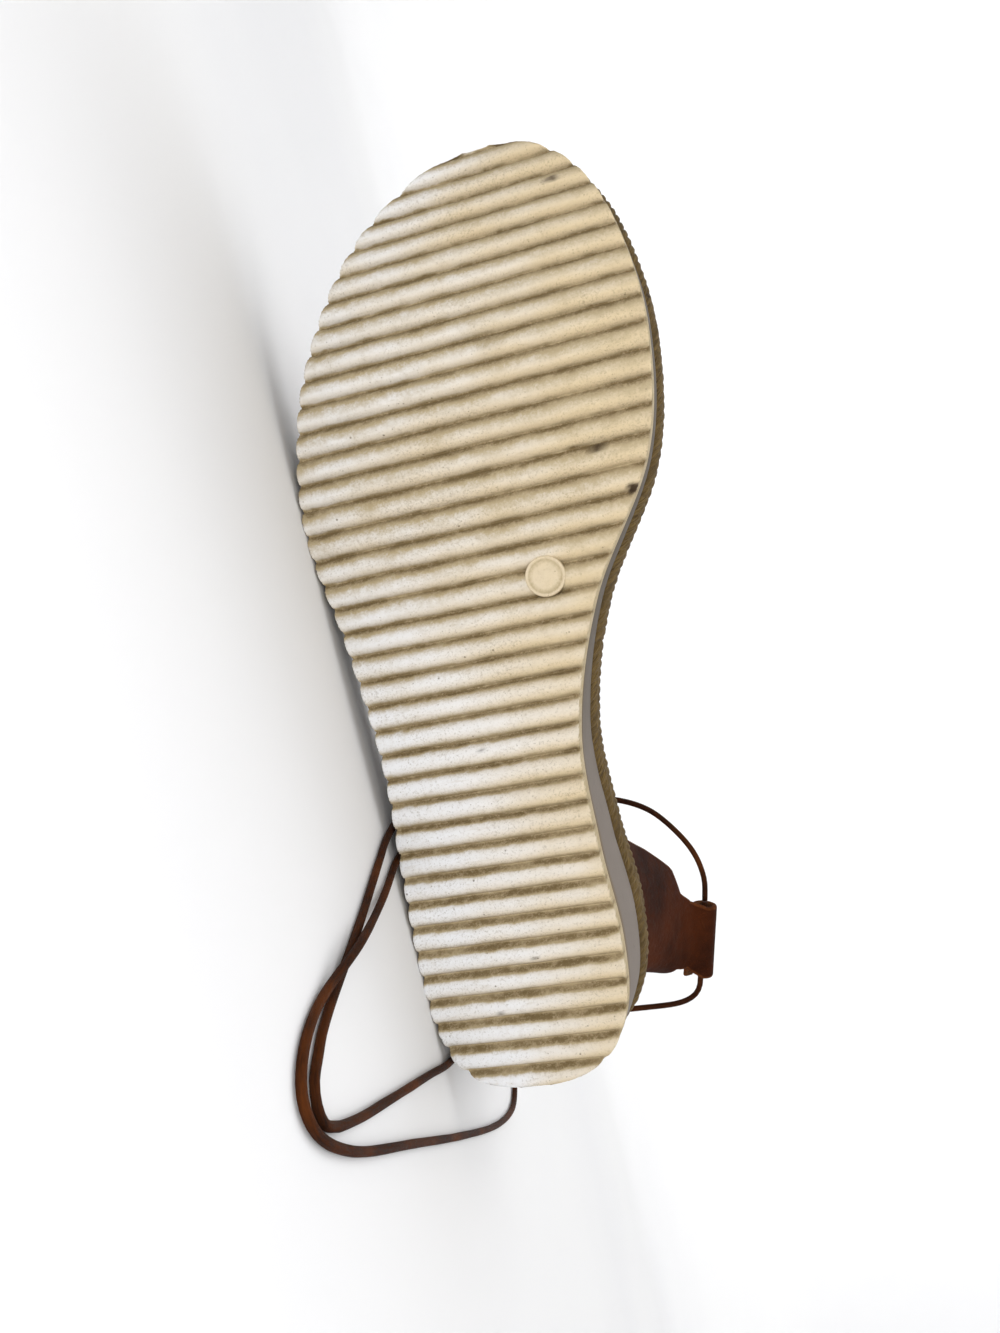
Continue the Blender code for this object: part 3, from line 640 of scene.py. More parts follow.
def even_points(route):
    """Evenly spaced points on the smooth curve through a route, none of them in the floor."""
    stops = [np.array(point) for point in (route[0], *route, route[-1])]
    shares = np.arange(LACE_SMOOTHING) / LACE_SMOOTHING
    fine = [spline(*four, t) for four in zip(stops, stops[1:], stops[2:], stops[3:]) for t in shares]
    fine = np.array(fine + [stops[-1]])
    fine[:, 2] = np.maximum(fine[:, 2], ON_FLOOR)
    along = running_length(fine)
    places = np.linspace(0, along[-1], round(along[-1] / LACE_SPACING) + 1)
    return on_path(fine, along, places)


def make_lace(name, route, length, material):
    path = even_points(route)
    build = Build()
    uneven = 1 + wander(path, *LACE_UNEVEN) - LACE_THINNED
    tube(build, path, 0.5 * LACE_DIAMETER * uneven, LACE_SIDES, rounded=False)
    made = build.made(name + "_cord", material, "cord_leather", name, world=True)


KNOT_LENGTH = 0.007
KNOT_TAIL = 0.012
KNOT_TAIL_DROOP = 0.0021
KNOT_DROOP_SHARE = 0.8
KNOT_SWING = 0.0007
KNOT_SWING_LENGTH = 0.005
KNOT_STEPS = 40
WRAP_RADIUS = 0.0018
WRAP_END_RADIUS = 0.25
WRAP_ENDS = ((-0.02, 0.16), (1.02, 0.84))
WRAP_TURNS = 1.8
WRAP_START = 0.6
WRAP_INSET = 0.0012
WRAP_WEAVE = 0.0006
WRAP_THINNED = 0.48
WRAP_STEPS = 90


def make_knot(name, route, material):
    """A tightened overhand knot: the lace runs on as a core, and its last turns lie round it."""
    end, before = np.array(route[-1]), np.array(route[-2])
    out = unit((end - before) * (1, 1, 0))
    up = np.array((0.0, 0.0, 1.0))
    side = np.cross(up, out)
    build = Build()
    reach = np.linspace(0, KNOT_LENGTH + KNOT_TAIL, KNOT_STEPS)
    droop = KNOT_TAIL_DROOP * smoothstep(KNOT_LENGTH, KNOT_LENGTH + KNOT_DROOP_SHARE * KNOT_TAIL, reach)
    swing = KNOT_SWING * np.sin(reach / KNOT_SWING_LENGTH)
    core = end + reach[:, None] * out - droop[:, None] * up + swing[:, None] * side
    tube(build, core, 0.5 * LACE_DIAMETER, LACE_SIDES)
    t = np.linspace(0, 1, WRAP_STEPS)
    swell = np.minimum(*(smoothstep(low, high, t) for low, high in WRAP_ENDS))
    radius = WRAP_RADIUS * np.minimum(1, swell + WRAP_END_RADIUS)
    turn = math.tau * WRAP_TURNS * t + WRAP_START
    place = WRAP_INSET + (KNOT_LENGTH - 2 * WRAP_INSET) * t + WRAP_WEAVE * np.sin(2 * turn)
    wrap = end + place[:, None] * out + radius[:, None] * circled(turn, side, up)
    tube(build, wrap, WRAP_THINNED * LACE_DIAMETER, LACE_SIDES)
    return build.made(name + "_tied", material, "cord_leather", name, world=True)


# Rows and columns of the tread: phases of each ripple, outline angles at the tips, distances from the sides
TREAD_PHASES = (
    0.0, 0.02, 0.045, 0.075, 0.11, 0.15, 0.195, 0.245, 0.305, 0.37, 0.44, 0.51, 0.58, 0.65, 0.715, 0.775,
    0.83, 0.875, 0.91, 0.94, 0.965, 0.985,
)
TREAD_TIP_ANGLES = (5, 7, 9, 11, 13, 167, 169, 171, 173, 175)
TREAD_TIP_ROW = 1e-4
TREAD_EDGE_STEPS = (0.0, 0.0001, 0.00025, 0.00045, 0.00075, 0.00115, 0.0017, 0.0025, 0.0036)
TREAD_COLUMNS = 26
TREAD_SAMPLES = 4000
EDGE_SHARE = 0.4
TREAD_RIM_STEP = 0.5
OUTSOLE_TOP_ROWS = 7

# Edges of the tread: rounding, grooves drawn in from the sides and filled towards them
TREAD_EDGE_ROUND = 0.0007
SCALLOP = 0.0002
SCALLOP_DEPTH_POWER = 1.4
SCALLOP_SIDE_POWER = 1.5
SCALLOP_REACH = 0.004
RIM_FILL = 0.35
RIM_REACH = 0.0014
DEEPEST_EXTRA = 0.0003

# Crests: how deep they are worn, how the wear spreads, and where they end beside a groove
WEAR_DEPTH = 0.00016
WEAR_SPREAD = (-0.2, 0.8)
CREST_FADE = (0.35, 0.0)

# Sides of the outsole, upwards: share of the height, share of the way out, share of the proud lip
SIDE_ROWS = ((0.0, 0.4, 0.0), (0.55, 1.0, 1.0), (0.92, 1.0, 1.0), (1.0, 1.0, 0.0))
SIDE_START = 0.0004
SIDE_ROW_GAP = 0.00012
LIP_PROUD = 0.00025
# Dirt with painted shade on the outsole's sides, darkened to sit in shade: a fade per side row, a level all
# along, and more where a groove reaches the side
SIDE_FADE = np.array(((1.0,), (0.9,), (0.35,), (0.12,), (0.25,)))
SIDE_DIRT_AND_SHADE = 0.52
SIDE_GROOVE_DIRT_AND_SHADE = 0.42

# Uneven detail of the tread: size, wavelength, seed and, where there are fewer, octaves
GROOVE_SWAY = (0.00016, 0.06, 5)
GROOVE_WAVER = (0.00007, 0.014, 6)
WEAR_PATCHES = (1, 0.09, 8)
SKIN = (0.00003, 0.0035, 9, 2)
DIRT_AND_SHADE_PATCHES = (0.2, 0.024, 11)
CREAM_PATCHES = (0.12, 0.05, 12)
GRIME_PATCHES = (1, 0.018, 13)
STAIN_EDGE = (0.35, 0.004, 14)
DIRT_AND_SHADE_EDGE = (0.025, 0.009, 15)
DIRT_AND_SHADE_FRAY = (0.015, 0.0025, 16, 2)

# Dirt and painted shade by phase from one groove to the next, towards the toe and towards the heel: dirt in
# the grooves, and painted shade on the flanks turned from the light, the toe-facing ones towards the toe and
# the heel-facing ones towards the heel
TOE_DIRT_AND_SHADE = np.array((
    (0.0, 1.0), (0.07, 1.0), (0.15, 0.88), (0.25, 0.7), (0.35, 0.46), (0.45, 0.32), (0.55, 0.22), (0.65, 0.1),
    (0.75, 0.0), (0.87, 0.0), (0.92, 0.2), (0.97, 0.8), (1.0, 1.0),
))
HEEL_DIRT_AND_SHADE = np.array((
    (0.0, 0.95), (0.06, 0.92), (0.1, 0.72), (0.14, 0.38), (0.19, 0.18), (0.27, 0.08), (0.36, 0.0),
    (0.5, 0.02), (0.6, 0.06), (0.7, 0.15), (0.8, 0.32), (0.9, 0.62), (0.96, 0.86), (1.0, 0.95),
))
TOE_TO_HEEL = (0.05, -0.05)
HEEL_LATE = 0.09
HEEL_LATE_PART = (-0.035, -0.075)
RIM_EARLY = 0.06
RIM_EARLY_REACH = 0.0045
GRIME = 0.14
GRIME_BACK = (-0.005, 0.03)
GRIME_FRONT = (0.112, 0.075)
GRIME_SPREAD = (-0.6, 0.6)
GRIME_STRETCH = (1, 2)
DIRT_AND_SHADE_LEVEL = 0.9
DIRT_AND_SHADE_STRETCH = (1, 2.2)
DIRT_AND_SHADE_EDGE_STRETCH = (1, 2.5)

# Creaminess, partly painted warm light: everywhere, added to the inner side as painted warm light, added
# behind each crest as painted warm light, and less of it at the heel
CREAM_LEVEL = 0.1
INNER_WARM_LIGHT = 0.55
INNER_WARM_LIGHT_POWER = 1.3
BEHIND_WARM_LIGHT = 0.3
BEHIND_WARM_LIGHT_PART = (0.38, 0.95)
CREAM_HEEL = 0.1
CREAM_SIDE = 0.55
CREAM_TOP = 0.5
CREAM_DISC = 0.7

# Dark marks on the tread: x, y, size and strength
STAINS = (
    (-0.0382, 0.1119, 0.0013, 0.8), (-0.037, 0.04, 0.0016, 0.95), (-0.0449, 0.0285, 0.0018, 1.0),
    (-0.0157, 0.073, 0.004, 0.12), (-0.04, 0.066, 0.0008, 0.6), (0.0065, -0.03, 0.0007, 0.6),
    (0.004, -0.087, 0.0008, 0.6), (0.016, -0.101, 0.0008, 0.55),
)
STAIN_WIDER = 1.5
STAIN_FADE = (1.0, 0.35)


def groove_depth(phase):
    return monotone(RIPPLES, 1, np.mod(phase, 1.0))


def edge_rounding(flat, rim, radius, inset=0.0):
    """How far a round edge falls away at each flat place, by its distance to the rim."""
    nearest = np.full(flat.shape[:-1], np.inf)
    for corner in rim:
        nearest = np.minimum(nearest, np.hypot(flat[..., 0] - corner[0], flat[..., 1] - corner[1]))
    short = np.clip(radius - np.maximum(nearest - inset, 0), 0, radius)
    return radius - np.sqrt(radius**2 - short**2)


def across_shares(width, steps, columns):
    """Shares across rows of differing width, close together at both edges."""
    near = np.minimum(np.array(steps)[None] / width[:, None], np.linspace(0, EDGE_SHARE, len(steps)))
    middle = np.linspace(0, 1, columns + 2)[1:-1]
    return np.concatenate((near, near[:, -1:] + (1 - 2 * near[:, -1:]) * middle, 1 - near[:, ::-1]), axis=1)


def tread_marks(flat, phase, across, from_inner):
    """Dirt with painted shade, creaminess partly painted warm light, and stains at each flat place of the
    tread.
    """
    x, y = flat[..., 0], flat[..., 1]
    to_heel = smoothstep(*TOE_TO_HEEL, y)
    ragged = phase + wander(flat * DIRT_AND_SHADE_EDGE_STRETCH, *DIRT_AND_SHADE_EDGE) + wander(flat, *DIRT_AND_SHADE_FRAY)
    late = HEEL_LATE * smoothstep(*HEEL_LATE_PART, y)
    late -= RIM_EARLY * smoothstep(RIM_EARLY_REACH, 0.0, from_inner)
    # Painted shade: the toe-facing flanks are darkened towards the toe and the heel-facing flanks towards the
    # heel, beside the dirt in the grooves.
    toe_dirt_and_shade = monotone(TOE_DIRT_AND_SHADE, 1, np.mod(ragged, 1.0))
    heel_dirt_and_shade = monotone(HEEL_DIRT_AND_SHADE, 1, np.mod(ragged - late, 1.0))
    dirt = toe_dirt_and_shade * (1 - to_heel) + heel_dirt_and_shade * to_heel
    grime = GRIME * window(GRIME_BACK, GRIME_FRONT, y)
    patches = wander(flat * GRIME_STRETCH, *GRIME_PATCHES)
    dirt += grime * smoothstep(*GRIME_SPREAD, patches) * (1 - dirt)
    dirt *= DIRT_AND_SHADE_LEVEL + wander(flat * DIRT_AND_SHADE_STRETCH, *DIRT_AND_SHADE_PATCHES)
    # Painted warm light: more cream on the inner side and on the flank behind each crest.
    cream = CREAM_LEVEL + INNER_WARM_LIGHT * across**INNER_WARM_LIGHT_POWER
    cream += BEHIND_WARM_LIGHT * smoothstep(*BEHIND_WARM_LIGHT_PART, phase) - CREAM_HEEL * to_heel
    cream += wander(flat, *CREAM_PATCHES)
    stain = np.zeros_like(x)
    edge = wander(flat, *STAIN_EDGE)
    for sx, sy, size, strength in STAINS:
        reach = np.hypot((x - sx) / (STAIN_WIDER * size), (y - sy) / size) + edge
        stain = np.maximum(stain, strength * smoothstep(*STAIN_FADE, reach))
    return {"dirt": dirt, "cream": cream, "stain": stain}


def make_outsole(material):
    toe, heel = outline_y(0) - TIP_CUT, outline_y(180) + TIP_CUT
    ys = np.linspace(heel, toe, TREAD_SAMPLES)
    along = heel + running_length(np.stack((ys, tread(ys)), 1))
    first, last = math.floor(along[0] / RIPPLE_PITCH), math.ceil(along[-1] / RIPPLE_PITCH)
    places = [(n - phase) * RIPPLE_PITCH for n in range(last, first, -1) for phase in TREAD_PHASES]
    places += [float(np.interp(outline_y(angle), ys, along)) for angle in TREAD_TIP_ANGLES]
    places = sorted({round(s, 6) for s in places if along[0] + TREAD_TIP_ROW < s < along[-1] - TREAD_TIP_ROW})
    places = np.array([along[0], *places, along[-1]])
    y = np.interp(places, along, ys)
    angle = np.degrees(np.arccos(np.clip((y - SOLE_MIDDLE_Y) / (0.5 * SOLE_LENGTH), -1, 1)))
    outer, inner = outline_x(angle), outline_x(360 - angle)
    width = outer - inner
    shares = across_shares(width, TREAD_EDGE_STEPS, TREAD_COLUMNS)
    straight_depth = groove_depth(-places / RIPPLE_PITCH)
    squarely = np.abs(outline_normal(angle)[:, 0])
    inset = SCALLOP * straight_depth**SCALLOP_DEPTH_POWER * squarely**SCALLOP_SIDE_POWER
    x = (outer - inset)[:, None] - shares * (width - 2 * inset)[:, None]
    yy = np.repeat(y[:, None], x.shape[1], 1)
    flat = np.stack((x, yy), -1)
    phase = -(places[:, None] + wander(flat, *GROOVE_SWAY) + wander(flat, *GROOVE_WAVER)) / RIPPLE_PITCH
    from_sides = np.minimum(shares, 1 - shares) * width[:, None]
    depth = groove_depth(phase) * (1 - RIM_FILL * smoothstep(RIM_REACH, 0.0, from_sides))
    turns = np.arange(0, 360, TREAD_RIM_STEP)
    rim = np.stack((outline_x(turns), outline_y(turns)), -1)
    rounding = edge_rounding(flat, rim, TREAD_EDGE_ROUND, inset[:, None] * (from_sides < SCALLOP_REACH))
    wear = WEAR_DEPTH * smoothstep(*WEAR_SPREAD, wander(flat, *WEAR_PATCHES)) * (1 - depth)
    fall = RIPPLE_DEPTH * depth + rounding + wear + wander(flat, *SKIN)
    z = tread(yy) + np.minimum(fall, RIPPLE_DEPTH + DEEPEST_EXTRA)
    across = np.clip((outer[:, None] - x) / width[:, None], 0, 1)
    marks = tread_marks(flat, np.mod(phase, 1.0), across, x - inner[:, None])
    crest = smoothstep(*CREST_FADE, depth)
    build = Build()
    build.grid(np.stack((x, yy, z), -1), uv=UV_PER_METRE * flat, crest=crest, **marks)
    low, top = tread(y) + RIPPLE_DEPTH - SIDE_START, tread(y) + RIPPLE_DEPTH + OUTSOLE_BASE
    tops = []
    for column, way, edge in ((0, 1, outer), (-1, -1, inner)):
        start = np.stack((x[:, column], y, z[:, column]), -1)
        rows = [start]
        for share, out, proud in SIDE_ROWS:
            level = np.maximum(start[:, 2] + SIDE_ROW_GAP * (1 + share), low + (top - low) * share)
            px = start[:, 0] + out * (edge + way * proud * LIP_PROUD - start[:, 0])
            rows.append(np.stack((px, y, np.minimum(level, top)), -1))
        tops.append(rows[-1])
        dirt = SIDE_DIRT_AND_SHADE + SIDE_GROOVE_DIRT_AND_SHADE * SIDE_FADE * straight_depth[None] ** 2
        build.grid(rows, dirt=dirt, cream=CREAM_SIDE)
    over = np.linspace(0, 1, OUTSOLE_TOP_ROWS)[:, None, None]
    build.grid(tops[0][None] * (1 - over) + tops[1][None] * over, cream=CREAM_TOP)
    build.made("ripple_outsole", material, "cream_foam", "outsole", weld=True)


# Disc on the tread, from its middle out: radius, depth and dirt
DISC_PROFILE = (
    (0.0006, 0.00012, 0.1), (0.003, 0.0001, 0.12), (0.00425, 0.00012, 0.45), (0.00448, -0.00006, 0.22),
    (0.00475, -0.00022, 0.08), (0.005, -0.0002, 0.08), (0.0052, 0.00002, 0.12), (0.0053, 0.0006, 0.45),
    (0.00536, 0.0031, 0.9),
)
DISC_PLACE = (-0.0187, 0.0112)
DISC_SIDES = 96
DISC_BEADS = 32
BEAD_HEIGHT = 0.00007
BEAD_INSIDE = (0.0043, 0.00475)
BEAD_OUTSIDE = (0.00532, 0.0051)
DISC_UNEVEN = (0.00002, 0.003, 31)


def make_disc(material):
    """The bare round disc moulded into the tread, with a faintly beaded rim."""
    turn = math.tau * np.arange(DISC_SIDES) / DISC_SIDES
    rings = []
    for radius, depth, _ in DISC_PROFILE:
        on_rim = window(BEAD_INSIDE, BEAD_OUTSIDE, radius)
        flat = DISC_PLACE + radius * np.stack((np.cos(turn), np.sin(turn)), -1)
        z = depth - BEAD_HEIGHT * on_rim * np.cos(DISC_BEADS * turn) + wander(flat, *DISC_UNEVEN)
        rings.append(raised(flat, z))
    build = Build()
    dirt = np.repeat([dirt for _, _, dirt in DISC_PROFILE], DISC_SIDES)
    build.grid(rings, wrap_columns=True, dirt=dirt, cream=CREAM_DISC)
    build.faces += [tuple(range(DISC_SIDES)), tuple(range(build.count - DISC_SIDES, build.count))]
    build.made("tread_disc", material, "cream_foam")


WALL_SHARES = (0.0, 0.03, 0.08, 0.16, 0.28, 0.4, 0.52, 0.64, 0.76, 0.86, 0.93, 0.97, 1.0)
WALL_BULGE = 0.0003
WALL_EDGE = 0.00045
WALL_EDGE_SHARES = (0.1, 0.08)
WALL_FORE = (-0.075, 0.03)
WALL_GAP = 0.2 * GAP
WALL_DENTS = (0.0001, 0.03, 41)
WALL_DENT_OVAL = (0.12, 0.05, 0.01)


def wall_foot(y):
    return tread(y) + RIPPLE_DEPTH + OUTSOLE_BASE + WALL_GAP


def make_wall(material):
    angles = DEGREES
    around = np.radians(angles)
    spread, inside = flare(angles), rope_inner_face(angles)
    rings = []
    for share in WALL_SHARES:
        edges = zip((share, 1 - share), WALL_EDGE_SHARES)
        edge = WALL_EDGE * sum(max(0, 1 - away / reach) ** 2 for away, reach in edges)
        oval = np.stack((np.cos(around), np.sin(around), np.full(len(angles), share)), -1) * WALL_DENT_OVAL
        offset = spread * share + WALL_BULGE * math.sin(math.pi * share) - edge + wander(oval, *WALL_DENTS)
        rings.append(ring(angles, offset, lambda y: wall_foot(y) + (wall_top(y) - wall_foot(y)) * share))
    rings.append(ring(angles, inside, wall_top))
    rings.append(ring(angles, inside, lambda y: seat(y) - GAP))
    rise = np.repeat((*WALL_SHARES, 1.0, 1.0), len(angles))
    fore = np.tile(smoothstep(*WALL_FORE, outline_y(angles)), len(rings))
    build = Build()
    build.grid(rings, wrap_columns=True, rise=rise, fore=fore)
    build.faces += cap(0, len(angles)) + cap(build.count - len(angles), len(angles))
    build.made("wedge_wall", material, "pale_foam", "midsole")


ROPE_OUT = -0.00065
ROPE_SAMPLES = 2400
ROPE_LAY = 0.0074
ROPE_LAY_UNEVEN = (0.05, 0.09)
ROPE_SEED = 51
STRANDS = 3
STRAND_RADIUS = 0.00148
STRAND_PLACE = 0.001
STRAND_SIDES = 10
STRAND_STEPS = 14
STRAND_UNEVEN = (0.05, 0.012)
STRAND_SEED = 60
ROPE_JOINT = 265.0
ROPE_JOINT_GAP = 0.35

# Two ropes: height over the wall, and way of their twist
ROPES = ((0.00285, 1), (0.00795, -1))

# Section of the core behind the ropes: distance out from the wall, and height over it
CORE_SECTION = ((-0.0036, 0.0003), (-0.0012, 0.0003), (-0.0009, 0.0052), (-0.0012, 0.0103), (-0.0036, 0.0103))
CORE_UV_PER_DEGREE = 0.18


def make_ropes(material):
    """Two twisted jute ropes of opposite lay, one on the other, round the top of the wedge."""
    build = Build()
    angles = np.linspace(ROPE_JOINT + ROPE_JOINT_GAP, ROPE_JOINT + 360 - ROPE_JOINT_GAP, ROPE_SAMPLES)
    for rise, way in ROPES:
        middle = ring(angles, flare(angles) + ROPE_OUT, lambda y: wall_top(y) + rise)
        along = running_length(middle)
        places = np.linspace(0, along[-1], round(along[-1] / ROPE_LAY * STRAND_STEPS))
        centre = on_path(middle, along, places)
        out = outwards(np.interp(places, along, angles))
        up = np.cross(unit(np.gradient(centre, axis=0)), out)
        up *= np.sign(up[:, 2:3])
        lay = ROPE_LAY * (1 + wander(places[:, None], *ROPE_LAY_UNEVEN, ROPE_SEED + way))
        spin = way * math.tau * np.cumsum(np.gradient(places) / lay)
        for strand in range(STRANDS):
            turn = spin + math.tau * strand / STRANDS
            path = centre + STRAND_PLACE * circled(turn, out, up)
            radius = STRAND_RADIUS * (1 + wander(path, *STRAND_UNEVEN, STRAND_SEED + STRANDS * way + strand))
            tube(build, path, radius, STRAND_SIDES)
    angles = DEGREES
    rows = [ring(angles, flare(angles) + out, lambda y: wall_top(y) + rise) for out, rise in CORE_SECTION]
    uv = np.stack(np.meshgrid(angles * CORE_UV_PER_DEGREE, np.linspace(0, 1, len(rows))), -1)
    build.grid(rows, wrap_rows=True, wrap_columns=True, uv=uv)
    build.made("jute_ropes", material, "jute", "rope_band")


SEAT_MARGIN = 0.0046
SEAT_EASE = 0.004
INSOLE_EDGE_STEPS = (0.0, 0.00012, 0.0003, 0.0006, 0.001, 0.0016, 0.0026, 0.004)
INSOLE_COLUMNS = 22
INSOLE_RIM_STEP = 0.75
INSOLE_ROUND = 0.0011
INSOLE_BELOW_BED = 0.0001
INSOLE_SOFT = (0.00012, 0.018, 71)
NARROWEST = 1e-5

# Dishes that the foot has pressed, at heel, ball and toes: x, y, half width, half length and depth
DISHES = (
    (0.0085, -0.082, 0.017, 0.026, 0.0007),
    (-0.006, 0.042, 0.024, 0.024, 0.0006),
    (-0.02, 0.095, 0.018, 0.013, 0.0005),
)


def seat_offset(angle):
    """Offset of the insole's rim, drawn in where leather passes down beside it."""
    y = outline_y(angle)
    quarter_end = outline_y(180 - np.where(angle > 180, QUARTER[0, 0], QUARTER[-1, 0])) + SEAT_MARGIN
    back, front = BAND_BACK_SIDE - SEAT_MARGIN, BAND_FRONT_SIDE + SEAT_MARGIN
    at_quarter = smoothstep(quarter_end, quarter_end - SEAT_EASE, y)
    at_band = window((back, back + SEAT_EASE), (front, front - SEAT_EASE), y)
    return rope_inner_face(angle) - np.maximum(at_quarter, at_band) * (LEATHER + 2 * GAP)


def make_insole(material):
    angles, turns = np.arange(0, 181, 1.0), np.arange(0, 360, INSOLE_RIM_STEP)
    outer, inner, rim = (ring(a, seat_offset(a), bed)[:, :2] for a in (angles, 360 - angles, turns))
    width = np.maximum(np.linalg.norm(outer - inner, axis=1), NARROWEST)
    shares = across_shares(width, INSOLE_EDGE_STEPS, INSOLE_COLUMNS)[..., None]
    flat = outer[:, None] * (1 - shares) + inner[:, None] * shares
    x, y = flat[..., 0], flat[..., 1]
    trodden, dish = np.zeros_like(x), np.zeros_like(x)
    for cx, cy, rx, ry, depth in DISHES:
        press = np.exp(-((x - cx) ** 2) / rx**2 - (y - cy) ** 2 / ry**2)
        trodden = np.maximum(trodden, press)
        dish = np.maximum(dish, depth * press)
    rounding = edge_rounding(flat, rim, INSOLE_ROUND)
    top = bed(y) - rounding - dish + wander(flat, *INSOLE_SOFT) - INSOLE_BELOW_BED
    under = seat(y)
    levels = [raised(flat, z) for z in (top, 0.5 * (top + under), under)]
    build = Build()
    build.grid(levels[0], trodden=trodden)
    build.grid(levels[-1])
    for column in (0, -1):
        build.grid([level[:, column] for level in levels])
    build.made("footbed", material, "lining", "insole", weld=True)


# Rounded rim of the leather, from its outer face to its flesh side: angle, and share of the flesh colour
RIM_ROWS = ((40, 0.2), (90, 0.5), (140, 0.8))
RIM_BULGE = 0.8
SHORTEST_NORMAL = 1e-12


def vertex_normals(points, faces):
    quads = np.array(faces)
    a, b, c, d = (points[quads[:, k]] for k in range(4))
    facing = np.cross(c - a, d - b)
    normals = np.zeros_like(points)
    for k in range(4):
        np.add.at(normals, quads[:, k], facing)
    return normals / np.maximum(np.linalg.norm(normals, axis=1, keepdims=True), SHORTEST_NORMAL)


def faced(points, faces, outside):
    """Faces and vertex normals turned so that the normals agree with a test of the outside."""
    normals = vertex_normals(points, faces)
    if outside(normals) < 0:
        return [tuple(reversed(face)) for face in faces], -normals
    return faces, normals


def leather_shell(build, points, faces):
    """A leather wall inside an outer face, with a rounded, rubbed rim along its open edges."""
    normals = vertex_normals(points, faces)
    n = len(points)
    pairs = {pair: None for face in faces for pair in zip(face, face[1:] + face[:1])}
    follow = {a: b for a, b in pairs if (b, a) not in pairs}
    past_edge = np.zeros_like(points)
    for a, b in follow.items():
        run = unit(points[b] - points[a])
        past_edge[a] += np.cross(run, normals[a])
        past_edge[b] += np.cross(run, normals[b])
    ids = np.array(list(follow))
    index = {int(v): k for k, v in enumerate(ids)}
    away = unit(past_edge[ids])
    half = 0.5 * LEATHER
    rows = []
    for degrees, _ in RIM_ROWS:
        turn = math.radians(degrees)
        bulge = half * RIM_BULGE * math.sin(turn) * away
        rows.append(points[ids] - half * normals[ids] * (1 - math.cos(turn)) + bulge)
    every = np.concatenate((points, points - LEATHER * normals, *rows))
    made = list(faces) + [tuple(i + n for i in reversed(face)) for face in faces]

    def chain(v):
        return [v, *(2 * n + row * len(ids) + index[v] for row in range(len(rows))), n + v]

    for a, b in follow.items():
        first, second = chain(a), chain(b)
        made += [(first[k], first[k + 1], second[k + 1], second[k]) for k in range(len(rows) + 1)]
    rim = np.zeros(n)
    rim[ids] = 1
    edge = np.concatenate((rim, rim, np.ones(len(rows) * len(ids))))
    inside = np.concatenate((np.zeros(n), np.ones(n), np.repeat([share for _, share in RIM_ROWS], len(ids))))
    build.add(every, made, edge=edge, inside=inside)


BAND_ACROSS = 141
BAND_ALONG = 47
BAND_FREE = (0.1, 0.35)
BAND_SOFT = (0.00025, 0.03, 81)

# Creases of the band: share of its length, spread across it, half width and depth
BAND_CREASES = ((0.3, 0.5, 0.035, 0.00045), (0.52, 0.35, 0.045, 0.00035), (0.74, 0.45, 0.03, 0.0004))

# How the creases swerve: size, waves over the band and shift from one to the next
BAND_CREASE_WAVES = ((0.05, 2.3, 9), (0.02, 7.1, 5))


def band_edges(y):
    for angles in (np.arange(180, -1, -1.0), np.arange(180, 361, 1.0)):
        side = ring(angles, rope_inner_face(angles), tread)
        yield np.interp(y, side[:, 1], side[:, 0])


def make_band(material):
    turns, shares = np.linspace(0, math.pi, BAND_ACROSS), np.linspace(0, 1, BAND_ALONG)
    turn, share = np.meshgrid(turns, shares, indexing="ij")
    lift = np.sin(turn)
    back = BAND_BACK_SIDE + lift * (BAND_BACK_TOP - BAND_BACK_SIDE)
    front = BAND_FRONT_SIDE + lift * (BAND_FRONT_TOP - BAND_FRONT_SIDE)
    y = back + share * (front - back)
    outer, inner = band_edges(y)
    reach = np.sign(np.cos(turn)) * np.abs(np.cos(turn)) ** BAND_WIDTH_POWER
    x = 0.5 * (outer + inner) + 0.5 * (outer - inner) * reach - BAND_PEAK_TO_INNER * lift**2
    z = seat(y) + monotone(BAND_ARCH, 1, y) * np.clip(lift, 0, None) ** BAND_HEIGHT_POWER
    points = np.stack((x, y, z), -1).reshape(-1, 3)
    faces = grid_faces(BAND_ACROSS, BAND_ALONG)
    faces, normals = faced(points, faces, lambda normals: (normals[:, 2] * lift.ravel()).sum())
    crease = np.zeros_like(turn)
    for at, spread, width, depth in BAND_CREASES:
        drift = at
        for size, waves, shift in BAND_CREASE_WAVES:
            drift = drift + size * np.sin(waves * turn + shift * at)
        strength = np.exp(-(((turn / math.pi - 0.5) / spread) ** 4))
        crease = crease - depth * strength * np.exp(-(((share - drift) / width) ** 2))
    soft = wander(points, *BAND_SOFT).reshape(turn.shape)
    points = points + ((crease + soft) * smoothstep(*BAND_FREE, lift)).reshape(-1, 1) * normals
    build = Build()
    leather_shell(build, points, faces)
    build.made("front_band", material, "upper_leather", "upper_front_band")


QUARTER_STEP = 0.5
QUARTER_ROWS = 30
QUARTER_FACING_ROW = 10
QUARTER_FOOT_ROWS = (0, 0.0025)
QUARTER_CLOSEST = 0.03
QUARTER_SOFT = (0.00022, 0.026, 91)
QUARTER_FREE = (0.01, 0.016)
QUARTER_FREE_TOP = 0.004
SHOULDER_DROP = 0.006
SHOULDER_REACH = 1.7
SHOULDER_STEPS = (0.06, 0.14, 0.25, 0.4, 0.6, 0.85, 1.15, 1.5, 1.9, 2.4)

